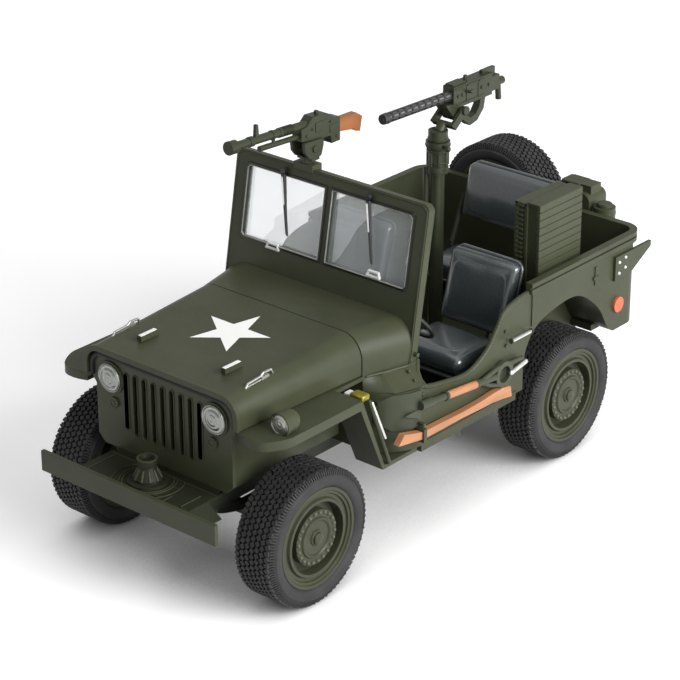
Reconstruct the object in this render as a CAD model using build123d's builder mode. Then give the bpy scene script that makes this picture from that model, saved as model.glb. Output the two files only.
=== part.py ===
from build123d import *
from math import hypot
import os

# Open army 4x4 car, a 1:18 model.  Millimetres, +X to the car's left, +Y to its rear, +Z up.
# Stations are measured rearwards from the front axle, heights from the ground.

# ---- driving dimensions -------------------------------------------------
wheelbase = 113.0
track = 70.4
bumper_reach = 30.3
rear_reach = 48.0

# wheels and steering
tyre_r = 19.75
tyre_w = 14.0
rim_r = 14.4
rim_depth = 12.4
rim_wall = 1.3
hub_r = 7.95
hub_recess = 3.4
web_t = 1.4
knob_r = 1.8
spindle_r = 1.6
running_gap = 0.05
kingpin_x = 28.0
kingpin_r = 1.0
knuckle_r = 2.2
knuckle_half = 4.3
lug_t = 1.4
lug_gap = 0.1
lug_half = 2.0
steer_arm = 9.0
steer_arm_drop = 3.6
arm_half = 1.1
eye_t = 1.2
eye_r = 1.5
eye_pin_r = 0.6

# chassis
rail_x = 16.7
rail_w = 3.4
rail_h = 4.0
cross_half = 2.0
axle_r = 2.0
diff_r = 5.0
diff_x = -7.0
shaft_r = 1.1
spring_half = 14.0
spring_t = 1.7
base_screw_r = 1.1
engine_half = 9.0
engine_top_z = 54.0
gearbox_half = 4.5
gearbox_end_s = 58.0
radiator_half = 18.0
radiator_t = 4.0

# tub
body_half = 41.3
body_wall = 1.3
floor_z = 30.6
floor_t = 1.0
rail_top_z = 63.2
rail_bead = 1.0
rail_deep = 3.2
rail_groove = 0.6
corner_r = 5.0
firewall_s = 30.4
door_front_s = 43.3
shoulder_z = 48.4
waist_z = 52.3
sill_low_z = 28.6
step_front_s = 56.7
step_rear_s = 63.6
sill_w = 2.8
tail_from_axle = 33.0
tail_low_z = 33.6
quarter_from_axle = 22.0
wheel_box_inner = 26.4
wheel_box_top = 52.6
wheel_box_front = 25.2
wheel_box_rear = 22.0
well_skin = 1.2

# grille and lamps
grille_s = -15.3
grille_t = 1.0
grille_half_low = 25.1
grille_half_top = 26.7
grille_low_z = 33.1
grille_corner = 2.4
slot_pitch = 3.41
slot_w = 1.6
slot_count = 9
slot_low_z = 38.9
slot_top_z = 57.0
headlight_x = 19.3
headlight_z = 53.9
headlight_r = 4.1
headlight_stand = 0.9
marker_x = 18.3
marker_z = 46.7
marker_r = 1.5
fender_lamp_x = 36.6
fender_lamp_s = -9.3
fender_lamp_r = 3.2

# hood and cowl
hood_front_s = -16.9
hood_front_half = 28.2
hood_rear_half = 30.6
hood_front_top = 62.2
hood_rear_top = 64.6
hood_skin = 1.2
hood_low_z = 53.3
hood_front_r = 5.5
hood_rear_r = 7.0
hood_lip = 0.35
hood_lip_w = 1.1
panel_gap = 0.3
cowl_front_half = 30.7
cowl_rear_half = 34.8
cowl_skin = 1.2
pad_x = 15.5

# fenders
fender_top = 53.0
fender_t = 1.2
fender_half = 40.6
fender_lip = 2.7
fender_nose_s = -17.0
fender_flat_end = 18.9
fender_tail_s = 28.0
fender_foot_s = 42.0
fender_foot_z = 30.3
fender_step_x = 31.0
splash_x = 21.4
splash_t = 1.0
splash_low_z = 33.0

# bumper and front deck
bumper_half = 32.5
bumper_t = 1.2
bumper_low = 27.05
bumper_top = 33.1
deck_top = 31.6
deck_half = 20.0
deck_edge_half = 25.0
deck_edge_z = 28.0
capstan_s = -21.8
capstan_r = 5.6
capstan_tall = 7.0

# windshield
screen_half = 35.2
screen_t = 2.5
screen_base_s = 45.2
screen_base_z = 52.0
screen_top_z = 96.8
screen_lean = 0.176
screen_corner_r = 2.2
glass_half = 30.7
glass_low_z = 72.0
glass_top_z = 93.5
glass_t = 0.8
divider_w = 1.8
wiper_x = 16.0

# seats
seat_x = 23.5
seat_w = 24.0
seat_top_z = 46.0
seat_long = 19.5
seat_rear_from_axle = 27.0
seat_back_w = 23.8
seat_back_top = 66.0
seat_lean = 0.28
seat_back_t = 4.2
cushion_t = 6.5
rear_seat_w = 33.0
rear_seat_top_z = 48.0
rear_seat_front = 2.0
rear_seat_long = 16.5
rear_cushion_t = 6.0
rear_back_low = 56.0
rear_back_top = 72.5
rear_back_lean = 0.25
rear_back_t = 4.0
seat_tube_r = 0.8

# steering wheel
wheel_x = 20.5
wheel_s = 59.0
wheel_z = 58.5
steering_wheel_r = 10.6
steering_rim_r = 0.65
column_r = 0.9

# stowage at the rear
box_inset = 3.7
box_w = 9.0
box_front = 13.0
box_long = 20.5
box_top = 83.0
groove = 0.4
groove_pitch = 2.25
can_x = 13.1
can_w = 16.2
can_t = 9.0
can_low_z = 44.0
can_top_z = 67.6
flask_r = 3.4
flask_x = 25.0
flask_low_z = 50.0
flask_top_z = 64.4
spare_x = -15.4
spare_z = 55.5
spare_gap = 1.0

# tools on the left side
tool_gap = 1.5
shovel_s = 31.2
shovel_end_s = 42.0
shovel_low_z = 37.5
shovel_top_z = 48.2
shovel_t = 0.75
shaft_z = 44.0
shaft_slope = -0.105
tool_shaft_r = 1.0
grip_r = 1.15
fork_hole_r = 2.5
fork_r = 3.9
axe_t = 2.0

# guns, as plain solid mouldings
post_from_axle = 12.7
post_r = 2.1
collar_r = 3.6
collar_top = 93.8
cup_r = 2.9
cup_rise = 3.2
spigot_r = 1.5
trunnion_r = 0.7
rear_pivot_back = 7.3
rear_pivot_rise = 4.9
rear_gun_half = 2.0
rear_ear_in = 3.1
rear_ear_out = 4.1
front_gun_x = -9.8
front_pivot_rise = 4.5
front_gun_half = 1.75
barrel_fall = 0.056
swivel_r = 0.8
clamp_half = 3.5
clamp_top = 98.0

# ---- worked out from the above ------------------------------------------
front_y = (bumper_reach - wheelbase - rear_reach) / 2
half_track = track / 2
axle_z = tyre_r
rear_s = wheelbase
tail_s = wheelbase + tail_from_axle
quarter_s = wheelbase - quarter_from_axle
post_s = wheelbase - post_from_axle
cup_top = collar_top + cup_rise
rear_pivot_z = cup_top + rear_pivot_rise
front_pivot_z = clamp_top + front_pivot_rise
sides = {"left": 1, "right": -1}
os.makedirs("parts", exist_ok=True)


def side(x):
    """Plane across X: local x is the station, local y the height."""
    return Plane(origin=(x, front_y, 0), x_dir=(0, 1, 0), z_dir=(1, 0, 0))


def across(s):
    """Plane across the car at a station: local x is X, local y the height, facing forward."""
    return Plane(origin=(0, front_y + s, 0), x_dir=(1, 0, 0), z_dir=(0, -1, 0))


def level(z):
    """Horizontal plane: local x is X, local y the station."""
    return Plane(origin=(0, front_y, z), x_dir=(1, 0, 0), z_dir=(0, 0, 1))


def block(x, s, z, mode=Mode.ADD):
    """A box from its spans across, along and up."""
    with BuildSketch(level(z[0])) as base:
        with Locations(((x[0] + x[1]) / 2, (s[0] + s[1]) / 2)):
            Rectangle(abs(x[1] - x[0]), s[1] - s[0])
    extrude(base.sketch, amount=z[1] - z[0], mode=mode)


def rod(start, end, r, mode=Mode.ADD):
    """A round bar between two (x, station, z) points."""
    a = Vector(start[0], front_y + start[1], start[2])
    b = Vector(end[0], front_y + end[1], end[2])
    with BuildSketch(Plane(origin=a, z_dir=b - a)) as end_face:
        Circle(r)
    extrude(end_face.sketch, amount=(b - a).length, mode=mode)


def prism(plane, points, depth, mode=Mode.ADD):
    """A polygon on a plane, extruded."""
    with BuildSketch(plane) as base:
        with BuildLine():
            Polyline(*points, close=True)
        make_face()
    extrude(base.sketch, amount=depth, mode=mode)


def turned(plane, points):
    """A profile of (along the axis, radius) points spun about the plane's local x."""
    with BuildSketch(plane) as base:
        with BuildLine():
            Polyline(*points, close=True)
        make_face()
    revolve(base.sketch, axis=Axis(plane.origin, plane.x_dir))


def save(piece, name):
    """Label a finished piece and write it under its node's name."""
    piece.part.label = name
    export_step(piece.part, f"parts/{name}.step")


# ---- wheels --------------------------------------------------------------
def build_wheel(centre, outward, tail):
    """Stepped disc rim and its tyre, facing outwards; tail is the end of the nodes' names."""
    x, s, z = centre
    face = Plane(origin=(x, front_y + s, z), x_dir=outward,
                 z_dir=(-outward[1], -abs(outward[0]), 0))
    half = rim_depth / 2
    inner_r = rim_r - rim_wall
    web = half - hub_recess - web_t
    disc = half - 0.85
    bore = spindle_r + running_gap
    with BuildPart() as rim:
        turned(face, [
            (-half, inner_r), (-half, rim_r), (half, rim_r), (half, rim_r - 0.9),
            (half - 0.5, rim_r - 1.1), (half - 0.5, rim_r - 1.8), (half - 1.1, rim_r - 2.0),
            (half - 1.1, rim_r - 2.9), (half - 0.3, rim_r - 3.3), (half - 0.3, rim_r - 4.1),
            (half - hub_recess, rim_r - 4.3), (half - hub_recess, hub_r), (disc, hub_r),
            (disc, knob_r), (half + 0.1, knob_r - 0.3), (half + 0.1, 0), (half - 2.6, 0),
            (half - 2.6, bore), (-1.0, bore), (-1.0, 2 * spindle_r + 0.8),
            (web, 2 * spindle_r + 0.8), (web, inner_r),
        ])
    save(rim, f"rim_{tail}" if tail != "spare" else "spare_rim")
    tyre_half = tyre_w / 2
    with BuildPart() as tyre:
        turned(face, [
            (-half, rim_r), (half, rim_r), (tyre_half - 0.2, rim_r + 0.6), (tyre_half, rim_r + 2.4),
            (tyre_half - 0.6, tyre_r - 1.2), (tyre_half - 1.8, tyre_r), (-tyre_half + 1.8, tyre_r),
            (-tyre_half + 0.6, tyre_r - 1.2), (-tyre_half, rim_r + 2.4), (-tyre_half + 0.2, rim_r + 0.6),
        ])
    save(tyre, f"tyre_{tail}" if tail != "spare" else "spare_tyre")


for place, s in (("front", 0), ("rear", rear_s)):
    for hand, sign in sides.items():
        build_wheel((sign * half_track, s, axle_z), (sign, 0, 0), f"{place}_{hand}")
spare_s = tail_s + spare_gap + tyre_w / 2
build_wheel((spare_x, spare_s, spare_z), (0, 1, 0), "spare")

# ---- axles, knuckles and steering ----------------------------------------
spindle_reach = rim_depth / 2 - 2.9
spindle_end = half_track + spindle_reach
pin_half = knuckle_half + lug_gap + lug_t
arm_z = axle_z - steer_arm_drop
rod_z = arm_z - eye_t - lug_gap - running_gap

for hand, sign in sides.items():
    with BuildPart() as knuckle:
        x = sign * kingpin_x
        rod((x, 0, axle_z - knuckle_half), (x, 0, axle_z + knuckle_half), knuckle_r)
        rod((x, 0, axle_z - pin_half), (x, 0, axle_z + pin_half), kingpin_r)
        rod((x, 0, axle_z), (sign * spindle_end, 0, axle_z), spindle_r)
        block((x - arm_half, x + arm_half), (0, steer_arm), (arm_z - eye_t / 2, arm_z + eye_t / 2))
        rod((x, steer_arm, arm_z - eye_t / 2), (x, steer_arm, arm_z + eye_t / 2), eye_r)
        rod((x, steer_arm, rod_z - eye_t / 2), (x, steer_arm, arm_z), eye_pin_r)
    save(knuckle, f"knuckle_{hand}")

with BuildPart() as tie_rod:
    rod((-kingpin_x, steer_arm, rod_z), (kingpin_x, steer_arm, rod_z), eye_t / 2 - running_gap)
    # the right eye is bored wider, as the linkage is open there
    for x, bore in ((kingpin_x, eye_pin_r + running_gap), (-kingpin_x, eye_pin_r + 3 * running_gap)):
        rod((x, steer_arm, rod_z - eye_t / 2), (x, steer_arm, rod_z + eye_t / 2), eye_r)
        rod((x, steer_arm, rod_z - eye_t), (x, steer_arm, rod_z + eye_t), bore, Mode.SUBTRACT)
save(tie_rod, "tie_rod")

lug_in = kingpin_x - knuckle_r - 1.0
lug_out = kingpin_x + knuckle_r - 0.4
rail_in, rail_out = rail_x - rail_w / 2, rail_x + rail_w / 2
spring_low = axle_z + axle_r + 0.2
nose_s = diff_r + 1.0


def differential(s, toward):
    """Axle's round housing, its pinion nose pointing fore or aft."""
    face = Plane(origin=(diff_x, front_y + s, axle_z), x_dir=(0, toward, 0), z_dir=(toward, 0, 0))
    turned(face, [(-0.8 * diff_r, 0), (-0.8 * diff_r, 0.5 * diff_r), (-0.45 * diff_r, 0.88 * diff_r),
                  (0, diff_r), (0.45 * diff_r, 0.88 * diff_r), (0.8 * diff_r, 0.5 * diff_r),
                  (nose_s, 0.36 * diff_r), (nose_s, 0)])


with BuildPart() as front_axle:
    rod((-lug_in, 0, axle_z), (lug_in, 0, axle_z), axle_r)
    differential(0, 1)
    for sign in (1, -1):
        block(sorted((sign * (lug_in - lug_t), sign * lug_in)), (-lug_half, lug_half),
              (axle_z - pin_half, axle_z + pin_half))
        reach = sorted((sign * (lug_in - lug_t), sign * lug_out))
        for low in (axle_z - pin_half, axle_z + knuckle_half + lug_gap):
            block(reach, (-lug_half, lug_half), (low, low + lug_t))
        x = sign * kingpin_x
        rod((x, 0, axle_z - pin_half - 1), (x, 0, axle_z + pin_half + 1),
            kingpin_r + running_gap, Mode.SUBTRACT)
        block(sorted((sign * rail_in, sign * rail_out)), (-axle_r - 0.4, axle_r + 0.4),
              (axle_z, spring_low))
save(front_axle, "front_axle")

hub_in = half_track - tyre_w / 2 - 1.2
with BuildPart() as rear_axle:
    rod((-hub_in, rear_s, axle_z), (hub_in, rear_s, axle_z), axle_r)
    for sign in (1, -1):
        rod((sign * (hub_in - 1), rear_s, axle_z), (sign * spindle_end, rear_s, axle_z), spindle_r)
        block(sorted((sign * rail_in, sign * rail_out)),
              (rear_s - axle_r - 0.4, rear_s + axle_r + 0.4), (axle_z, spring_low))
    differential(rear_s, -1)
save(rear_axle, "rear_axle")

# ---- ladder frame, springs and drive line --------------------------------
frame_low = floor_z - rail_h
frame_end = tail_s - 4.0
base_screw_s = (gearbox_end_s + 8.0, wheelbase + 12.0)
with BuildPart() as frame_rails:
    for sign in (1, -1):
        block(sorted((sign * rail_in, sign * rail_out)), (bumper_t - bumper_reach, frame_end),
              (frame_low, floor_z))
    for s in (bumper_t - bumper_reach + cross_half, *base_screw_s, frame_end - cross_half):
        block((-rail_in, rail_in), (s - cross_half, s + cross_half), (frame_low + 0.6, floor_z))
    for s in base_screw_s:
        rod((0, s, frame_low), (0, s, floor_z + 1), base_screw_r, Mode.SUBTRACT)
save(frame_rails, "frame_rails")

with BuildPart() as leaf_springs:
    for sign in (1, -1):
        x0 = min(sign * (rail_in + panel_gap), sign * (rail_out - panel_gap))
        for s in (0, rear_s):
            fore, aft = s - spring_half, s + spring_half
            with BuildSketch(side(x0)):
                with BuildLine():
                    ThreePointArc((fore, frame_low - spring_t), (s, spring_low),
                                  (aft, frame_low - spring_t))
                    Line((aft, frame_low - spring_t), (aft, frame_low))
                    ThreePointArc((aft, frame_low), (s, spring_low + spring_t), (fore, frame_low))
                    Line((fore, frame_low), (fore, frame_low - spring_t))
                make_face()
            extrude(amount=rail_w - 2 * panel_gap)
save(leaf_springs, "leaf_springs")

radiator_s = grille_s + grille_t + 0.4
transfer_s = gearbox_end_s - 12.0
with BuildPart() as engine_and_radiator:
    block((-engine_half, engine_half), (-4.0, firewall_s - 4.4), (floor_z - 2.6, engine_top_z))
    block((-gearbox_half, gearbox_half), (firewall_s - 8.4, gearbox_end_s),
          (floor_z - 7.6, floor_z - 0.4))
    block((diff_x - 3.5, 0), (transfer_s, gearbox_end_s), (axle_z - 3.25, floor_z - 0.4))
    block((-radiator_half, radiator_half), (radiator_s, radiator_s + radiator_t),
          (splash_low_z, hood_front_top - 3.7))
save(engine_and_radiator, "engine_and_radiator")

with BuildPart() as drive_shafts:
    rod((diff_x, nose_s, axle_z), (diff_x, transfer_s, axle_z), shaft_r)
    rod((diff_x, gearbox_end_s, axle_z), (diff_x, rear_s - nose_s, axle_z), shaft_r)
save(drive_shafts, "drive_shafts")

# ---- bumper and front deck ------------------------------------------------
deck_s = bumper_t - bumper_reach
with BuildPart() as bumper_front:
    block((-bumper_half, bumper_half), (-bumper_reach, deck_s), (bumper_low, bumper_top))
save(bumper_front, "bumper_front")

deck_skin = deck_top - floor_z
flange_end_s = -tyre_r
with BuildPart() as front_deck:
    prism(across(deck_s), [
        (-deck_edge_half, deck_edge_z), (-deck_half, deck_top), (deck_half, deck_top),
        (deck_edge_half, deck_edge_z), (deck_edge_half - deck_skin, deck_edge_z),
        (deck_half - 0.4, floor_z), (0.4 - deck_half, floor_z),
        (deck_skin - deck_edge_half, deck_edge_z),
    ], -(flange_end_s - deck_s))
    # only the flat middle runs on to the grille, clear of the steered tyres
    block((-deck_half, deck_half), (deck_s, grille_s + grille_t), (floor_z, deck_top))
    # capstan: base ring, flared skirt, neck and hollow cup
    rod((0, capstan_s, deck_top), (0, capstan_s, deck_top + 0.6), capstan_r)
    upright = Plane(origin=(0, front_y + capstan_s, deck_top), x_dir=(0, 0, 1), z_dir=(1, 0, 0))
    turned(upright, [(0.6, 0), (0.6, 3.8), (1.3, 3.8), (4.0, 2.4), (4.7, 2.1), (5.0, 2.6),
                     (capstan_tall, 2.7), (capstan_tall, 2.0), (capstan_tall - 1.2, 1.6),
                     (capstan_tall - 1.2, 0)])
save(front_deck, "front_deck")

# ---- grille, lamps ---------------------------------------------------------
grille_top = hood_front_top - hood_skin - 0.7
grille_shoulder_z = waist_z + 0.2
with BuildPart() as grille:
    with BuildSketch(across(grille_s)):
        with BuildLine():
            h, t, r = grille_half_low, grille_half_top, hood_front_r
            corner = grille_corner
            Polyline((-t + r, grille_top), (t - r, grille_top))
            RadiusArc((t - r, grille_top), (t, grille_top - r), r)
            Polyline((t, grille_top - r), (t, grille_shoulder_z), (h, grille_shoulder_z - 2),
                     (h, grille_low_z + corner), (h - corner, grille_low_z),
                     (corner - h, grille_low_z), (-h, grille_low_z + corner),
                     (-h, grille_shoulder_z - 2), (-t, grille_shoulder_z), (-t, grille_top - r))
            RadiusArc((-t, grille_top - r), (-t + r, grille_top), r)
        make_face()
    extrude(amount=-grille_t)
    for k in range(slot_count):
        x = (k - (slot_count - 1) / 2) * slot_pitch
        short = 1.3 if k in (0, slot_count - 1) else 0
        low, high = slot_low_z + short, slot_top_z - 0.2 * short
        with BuildSketch(across(grille_s)):
            with Locations((x, (low + high) / 2)):
                SlotOverall(high - low, slot_w, rotation=90)
        extrude(amount=-grille_t, mode=Mode.SUBTRACT)
    # foot set back under the front face
    block((-deck_half + 1, deck_half - 1), (grille_s + grille_t / 2, grille_s + grille_t),
          (deck_top, grille_low_z + 1))
save(grille, "grille")

with BuildPart() as headlights:
    for sign in (1, -1):
        rod((sign * headlight_x, grille_s - headlight_stand, headlight_z),
            (sign * headlight_x, grille_s, headlight_z), headlight_r)
save(headlights, "headlights")

lamp_z = fender_top + fender_lamp_r - 0.6
with BuildPart() as marker_lamps:
    for sign in (1, -1):
        rod((sign * marker_x, grille_s - 0.5, marker_z), (sign * marker_x, grille_s, marker_z),
            marker_r)
    # fender lamp, flat where it sits on the fender, domed at its rear
    lens = Plane(origin=(fender_lamp_x, front_y + fender_lamp_s, lamp_z), x_dir=(0, 1, 0),
                 z_dir=(1, 0, 0))
    turned(lens, [(0, 0), (0, fender_lamp_r), (3.4, fender_lamp_r), (4.8, 0.86 * fender_lamp_r),
                  (5.8, 0.55 * fender_lamp_r), (6.2, 0)])
    block((fender_lamp_x - 5, fender_lamp_x + 5), (fender_lamp_s - 1, fender_lamp_s + 8),
          (fender_top - 4, fender_top), Mode.SUBTRACT)
save(marker_lamps, "marker_lamps")

# ---- hood ------------------------------------------------------------------
hood_rear_s = firewall_s - panel_gap


def arch_face(half, top, low, r):
    """Cross-section of hood and cowl: straight sides, round shoulders, flat top."""
    with BuildLine() as outline:
        Line((-half, low), (-half, top - r))
        RadiusArc((-half, top - r), (-half + r, top), r)
        Line((-half + r, top), (half - r, top))
        RadiusArc((half - r, top), (half, top - r), r)
        Line((half, top - r), (half, low))
        Line((half, low), (-half, low))
    make_face(outline.edges())


with BuildPart() as hood:
    with BuildSketch(across(hood_front_s)):
        arch_face(hood_front_half, hood_front_top, hood_low_z, hood_front_r)
    with BuildSketch(across(hood_rear_s)):
        arch_face(hood_rear_half, hood_rear_top, hood_low_z, hood_rear_r)
    loft()
    # rolled bead round the front edge
    with BuildSketch(across(hood_front_s)):
        arch_face(hood_front_half + hood_lip, hood_front_top + hood_lip, hood_low_z,
                  hood_front_r + hood_lip)
    extrude(amount=-hood_lip_w)
    with BuildSketch(across(hood_front_s - 0.01)):
        arch_face(hood_front_half - hood_skin, hood_front_top - hood_skin, hood_low_z - 1,
                  hood_front_r - hood_skin)
    with BuildSketch(across(hood_rear_s + 0.01)):
        arch_face(hood_rear_half - hood_skin, hood_rear_top - hood_skin, hood_low_z - 1,
                  hood_rear_r - hood_skin)
    loft(mode=Mode.SUBTRACT)
save(hood, "hood")


def hood_top(s):
    """Height of the hood's flat top at a station."""
    share = (s - hood_front_s) / (hood_rear_s - hood_front_s)
    return hood_front_top + share * (hood_rear_top - hood_front_top)


pad_s = (hood_front_s + 8.9, hood_front_s + 15.4)
with BuildPart() as hood_fittings:
    for sign in (1, -1):
        block((sign * pad_x - 0.8, sign * pad_x + 0.8), pad_s,
              (hood_top(pad_s[1]) + 0.02, hood_top(pad_s[1]) + 1.6))
save(hood_fittings, "hood_fittings")

# ---- fenders ---------------------------------------------------------------
fender_low = fender_top - fender_t
behind_grille = grille_s + grille_t + 0.1
# rounded nose, as distances in from the outer edge and back from the foremost point
nose_curve = [(13.3, 1.6), (11.0, 0.6), (7.4, 0.0), (4.0, 0.8), (1.9, 3.4), (0.6, 5.9), (0.0, 9.0)]


def fender_plan(sign):
    """Flat top of a fender, seen from above."""
    nose = [(sign * (fender_half - a), fender_nose_s + b) for a, b in nose_curve]
    with BuildLine() as outline:
        Spline(*nose)
        Polyline(nose[-1], (sign * fender_half, fender_flat_end),
                 (sign * fender_step_x, fender_flat_end), (sign * fender_step_x, hood_rear_s),
                 (sign * splash_x, hood_rear_s), (sign * splash_x, behind_grille),
                 (nose[0][0], behind_grille), nose[0])
    make_face(outline.edges())


for hand, sign in sides.items():
    with BuildPart() as fender:
        with BuildSketch(level(fender_top - fender_lip)) as plan:
            fender_plan(sign)
        extrude(plan.sketch, amount=fender_lip)
        # hollow under the top, which leaves the turned-down lip
        with BuildSketch(level(fender_top - fender_lip)) as under:
            offset(plan.sketch, amount=-fender_t)
        extrude(under.sketch, amount=fender_lip - fender_t, mode=Mode.SUBTRACT)
        keep_in = sorted((sign * splash_x, sign * (fender_half - nose_curve[0][0] + 0.8)))
        block((keep_in[0] - 0.01, keep_in[1]), (behind_grille - 2, hood_rear_s + 1),
              (fender_top - fender_lip - 1, fender_low), Mode.SUBTRACT)
        block(sorted((sign * splash_x, sign * (fender_step_x + 0.01))),
              (fender_flat_end - fender_t, hood_rear_s + 1),
              (fender_top - fender_lip - 1, fender_low), Mode.SUBTRACT)
        tail = [
            (fender_flat_end - 1.4, fender_low), (fender_flat_end, fender_top),
            (fender_tail_s, fender_foot_z), (fender_foot_s, fender_foot_z),
            (fender_foot_s, fender_foot_z - fender_t),
            (fender_tail_s - 0.7, fender_foot_z - fender_t),
        ]
        x0 = fender_step_x if sign > 0 else -fender_half
        prism(side(x0), tail, fender_half - fender_step_x)
        block(sorted((sign * splash_x, sign * (splash_x + splash_t))),
              (behind_grille, hood_rear_s), (splash_low_z, fender_low))
    save(fender, f"fender_{hand}")

# ---- tub -------------------------------------------------------------------
rail_low = rail_top_z - rail_deep
door_low_z = 44.8
# door cut-out, as shares of its length and of its height
door_curve = [(0.07, 0.156), (0.21, 0.071), (0.426, 0.0), (0.595, 0.214), (0.686, 0.513),
              (0.763, 0.825), (0.874, 0.948), (1.0, 1.0)]
door_line = [(door_front_s, shoulder_z)]
for run, rise in door_curve:
    door_line.append((door_front_s + run * (quarter_s - door_front_s),
                      door_low_z + rise * (rail_low - door_low_z)))


def tub_plan(grow=0.0):
    """Plan outline of the tub's outer skin, front corners drawn in to the firewall."""
    w, end, front = body_half + grow, tail_s + grow, firewall_s - grow
    r = corner_r + grow
    nose = cowl_front_half + panel_gap + grow
    reach, depth = w - nose, door_front_s - front
    bend = (reach**2 + depth**2) / (2 * reach)
    with BuildLine() as outline:
        RadiusArc((nose, front), (w, door_front_s), -bend)
        Line((w, door_front_s), (w, end - r))
        RadiusArc((w, end - r), (w - r, end), -r)
        Line((w - r, end), (-w + r, end))
        RadiusArc((-w + r, end), (-w, end - r), -r)
        Line((-w, end - r), (-w, door_front_s))
        RadiusArc((-w, door_front_s), (-nose, front), -bend)
        Line((-nose, front), (nose, front))
    make_face(outline.edges())


def tub_slab(grow, low, high, mode=Mode.ADD):
    """A slab of the tub's plan between two heights."""
    with BuildSketch(level(low)) as slab:
        tub_plan(grow)
    extrude(slab.sketch, amount=high - low, mode=mode)


box_front_s, box_rear_s = wheelbase - wheel_box_front, wheelbase + wheel_box_rear
# wheel arch, as distances from the rear axle and heights
arch_curve = [(-24.0, 37.0), (-16.0, 49.6), (-10.0, 51.1), (3.0, 51.0), (8.8, 47.3),
              (14.3, 41.7), (17.9, 35.8), (21.0, 33.5)]
rear_floor_s = rear_s + arch_curve[-1][0]
wide = body_half + 5
with BuildPart() as tub:
    tub_slab(0, floor_z, rail_top_z)
    with BuildSketch(side(-wide)):
        with BuildLine():
            Spline(*door_line)
            Polyline(door_line[-1], (quarter_s, rail_top_z), (tail_s + 5, rail_top_z),
                     (tail_s + 5, floor_z - 1), (firewall_s - 5, floor_z - 1),
                     (firewall_s - 5, shoulder_z), door_line[0])
        make_face()
    extrude(amount=2 * wide, mode=Mode.INTERSECT)
    # double rolled rim round the rear of the tub
    mid = (rail_low + rail_top_z) / 2
    tub_slab(rail_bead - rail_groove, rail_low, rail_top_z)
    tub_slab(rail_bead, rail_low, mid - rail_groove / 2)
    tub_slab(rail_bead, mid + rail_groove / 2, rail_top_z)
    block((-wide, wide), (firewall_s - 3, quarter_s), (rail_low, rail_top_z + 1), Mode.SUBTRACT)
    tub_slab(-body_wall, floor_z + floor_t, rail_top_z + 1, Mode.SUBTRACT)
    # wheel boxes and the open wheel arches
    for sign in (1, -1):
        span = sorted((sign * wheel_box_inner, sign * (body_half - body_wall / 2)))
        prism(side(span[0]), [
            (box_front_s, floor_z), (box_front_s, 37.6), (box_front_s + 8, wheel_box_top),
            (box_rear_s, wheel_box_top), (box_rear_s, floor_z),
        ], span[1] - span[0])
        well = sorted((sign * (wheel_box_inner + well_skin), sign * wide))
        arch = [(rear_s + a, z) for a, z in arch_curve]
        with BuildSketch(side(well[0])):
            with BuildLine():
                Spline(*arch)
                Polyline(arch[-1], (arch[-1][0], floor_z - 2), (arch[0][0], floor_z - 2), arch[0])
            make_face()
        extrude(amount=well[1] - well[0], mode=Mode.SUBTRACT)
    # the floor steps up behind the wheels
    block((-wide, wide), (rear_floor_s, tail_s + 3), (floor_z - 2, tail_low_z), Mode.SUBTRACT)
    block((6 - body_half, body_half - 6), (rear_floor_s - 3, tail_s - 0.5),
          (tail_low_z - floor_t, tail_low_z + floor_t))
    # sills under the doors, each with a gusset
    for sign in (1, -1):
        block(sorted((sign * (body_half - sill_w), sign * body_half)),
              (fender_foot_s + 1, box_front_s - 2), (sill_low_z, floor_z + floor_t / 2))
        x0 = min(sign * (body_half - 4.8), sign * (body_half - 2.3))
        prism(side(x0), [(step_front_s, sill_low_z + 1), (step_rear_s, sill_low_z + 1),
                         (step_rear_s, sill_low_z - 4)], 2.5)
save(tub, "tub")

# ---- cowl and windshield ---------------------------------------------------
screen_rise = hypot(screen_lean, 1)
screen = Plane(origin=(0, front_y + screen_base_s, screen_base_z), x_dir=(1, 0, 0),
               z_dir=(0, -1, screen_lean))
screen_len = (screen_top_z - screen_base_z) * screen_rise


def up_screen(z):
    """Distance up the windshield's front face to a height."""
    return (z - screen_base_z) * screen_rise


cowl_end_s = screen_base_s + 4.0
cowl_skirt = cowl_front_half - 1.0
with BuildPart() as cowl:
    with BuildSketch(across(firewall_s)):
        arch_face(cowl_front_half, hood_rear_top, waist_z, hood_rear_r)
    with BuildSketch(across(cowl_end_s)):
        arch_face(cowl_rear_half + 0.9, hood_rear_top, waist_z, hood_rear_r + 1.0)
    loft()
    with BuildSketch(across(firewall_s + cowl_skin)):
        arch_face(cowl_front_half - 1.0, hood_rear_top - cowl_skin, waist_z - 1, hood_rear_r - 1.0)
    with BuildSketch(across(cowl_end_s + 0.01)):
        arch_face(cowl_rear_half - 0.1, hood_rear_top - cowl_skin, waist_z - 1, hood_rear_r)
    loft(mode=Mode.SUBTRACT)
    # firewall down to the floor
    block((-cowl_front_half, cowl_front_half), (firewall_s, firewall_s + cowl_skin),
          (shoulder_z, waist_z))
    # side shoulders between the tub's edge and the waist
    step_s = door_front_s + 1.0
    for sign in (1, -1):
        low_shape = [(cowl_front_half + panel_gap, firewall_s), (body_half - 2.9, door_front_s - 8.6),
                     (body_half, door_front_s), (body_half, step_s), (body_half - 6.8, step_s),
                     (cowl_skirt, firewall_s)]
        high_shape = [(cowl_front_half, firewall_s), (cowl_front_half + 1.9, door_front_s - 6.0),
                      (cowl_rear_half, door_front_s), (cowl_rear_half, step_s),
                      (cowl_rear_half - 1.5, step_s), (cowl_skirt, firewall_s)]
        plans = []
        for z, shape in ((shoulder_z, low_shape), (waist_z, high_shape)):
            with BuildSketch(level(z)) as plan:
                with BuildLine():
                    Polyline(*[(sign * x, s) for x, s in shape], close=True)
                make_face()
            plans.append(plan.sketch)
        loft(sections=plans)
    split(bisect_by=screen, keep=Keep.TOP)
save(cowl, "cowl")

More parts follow.
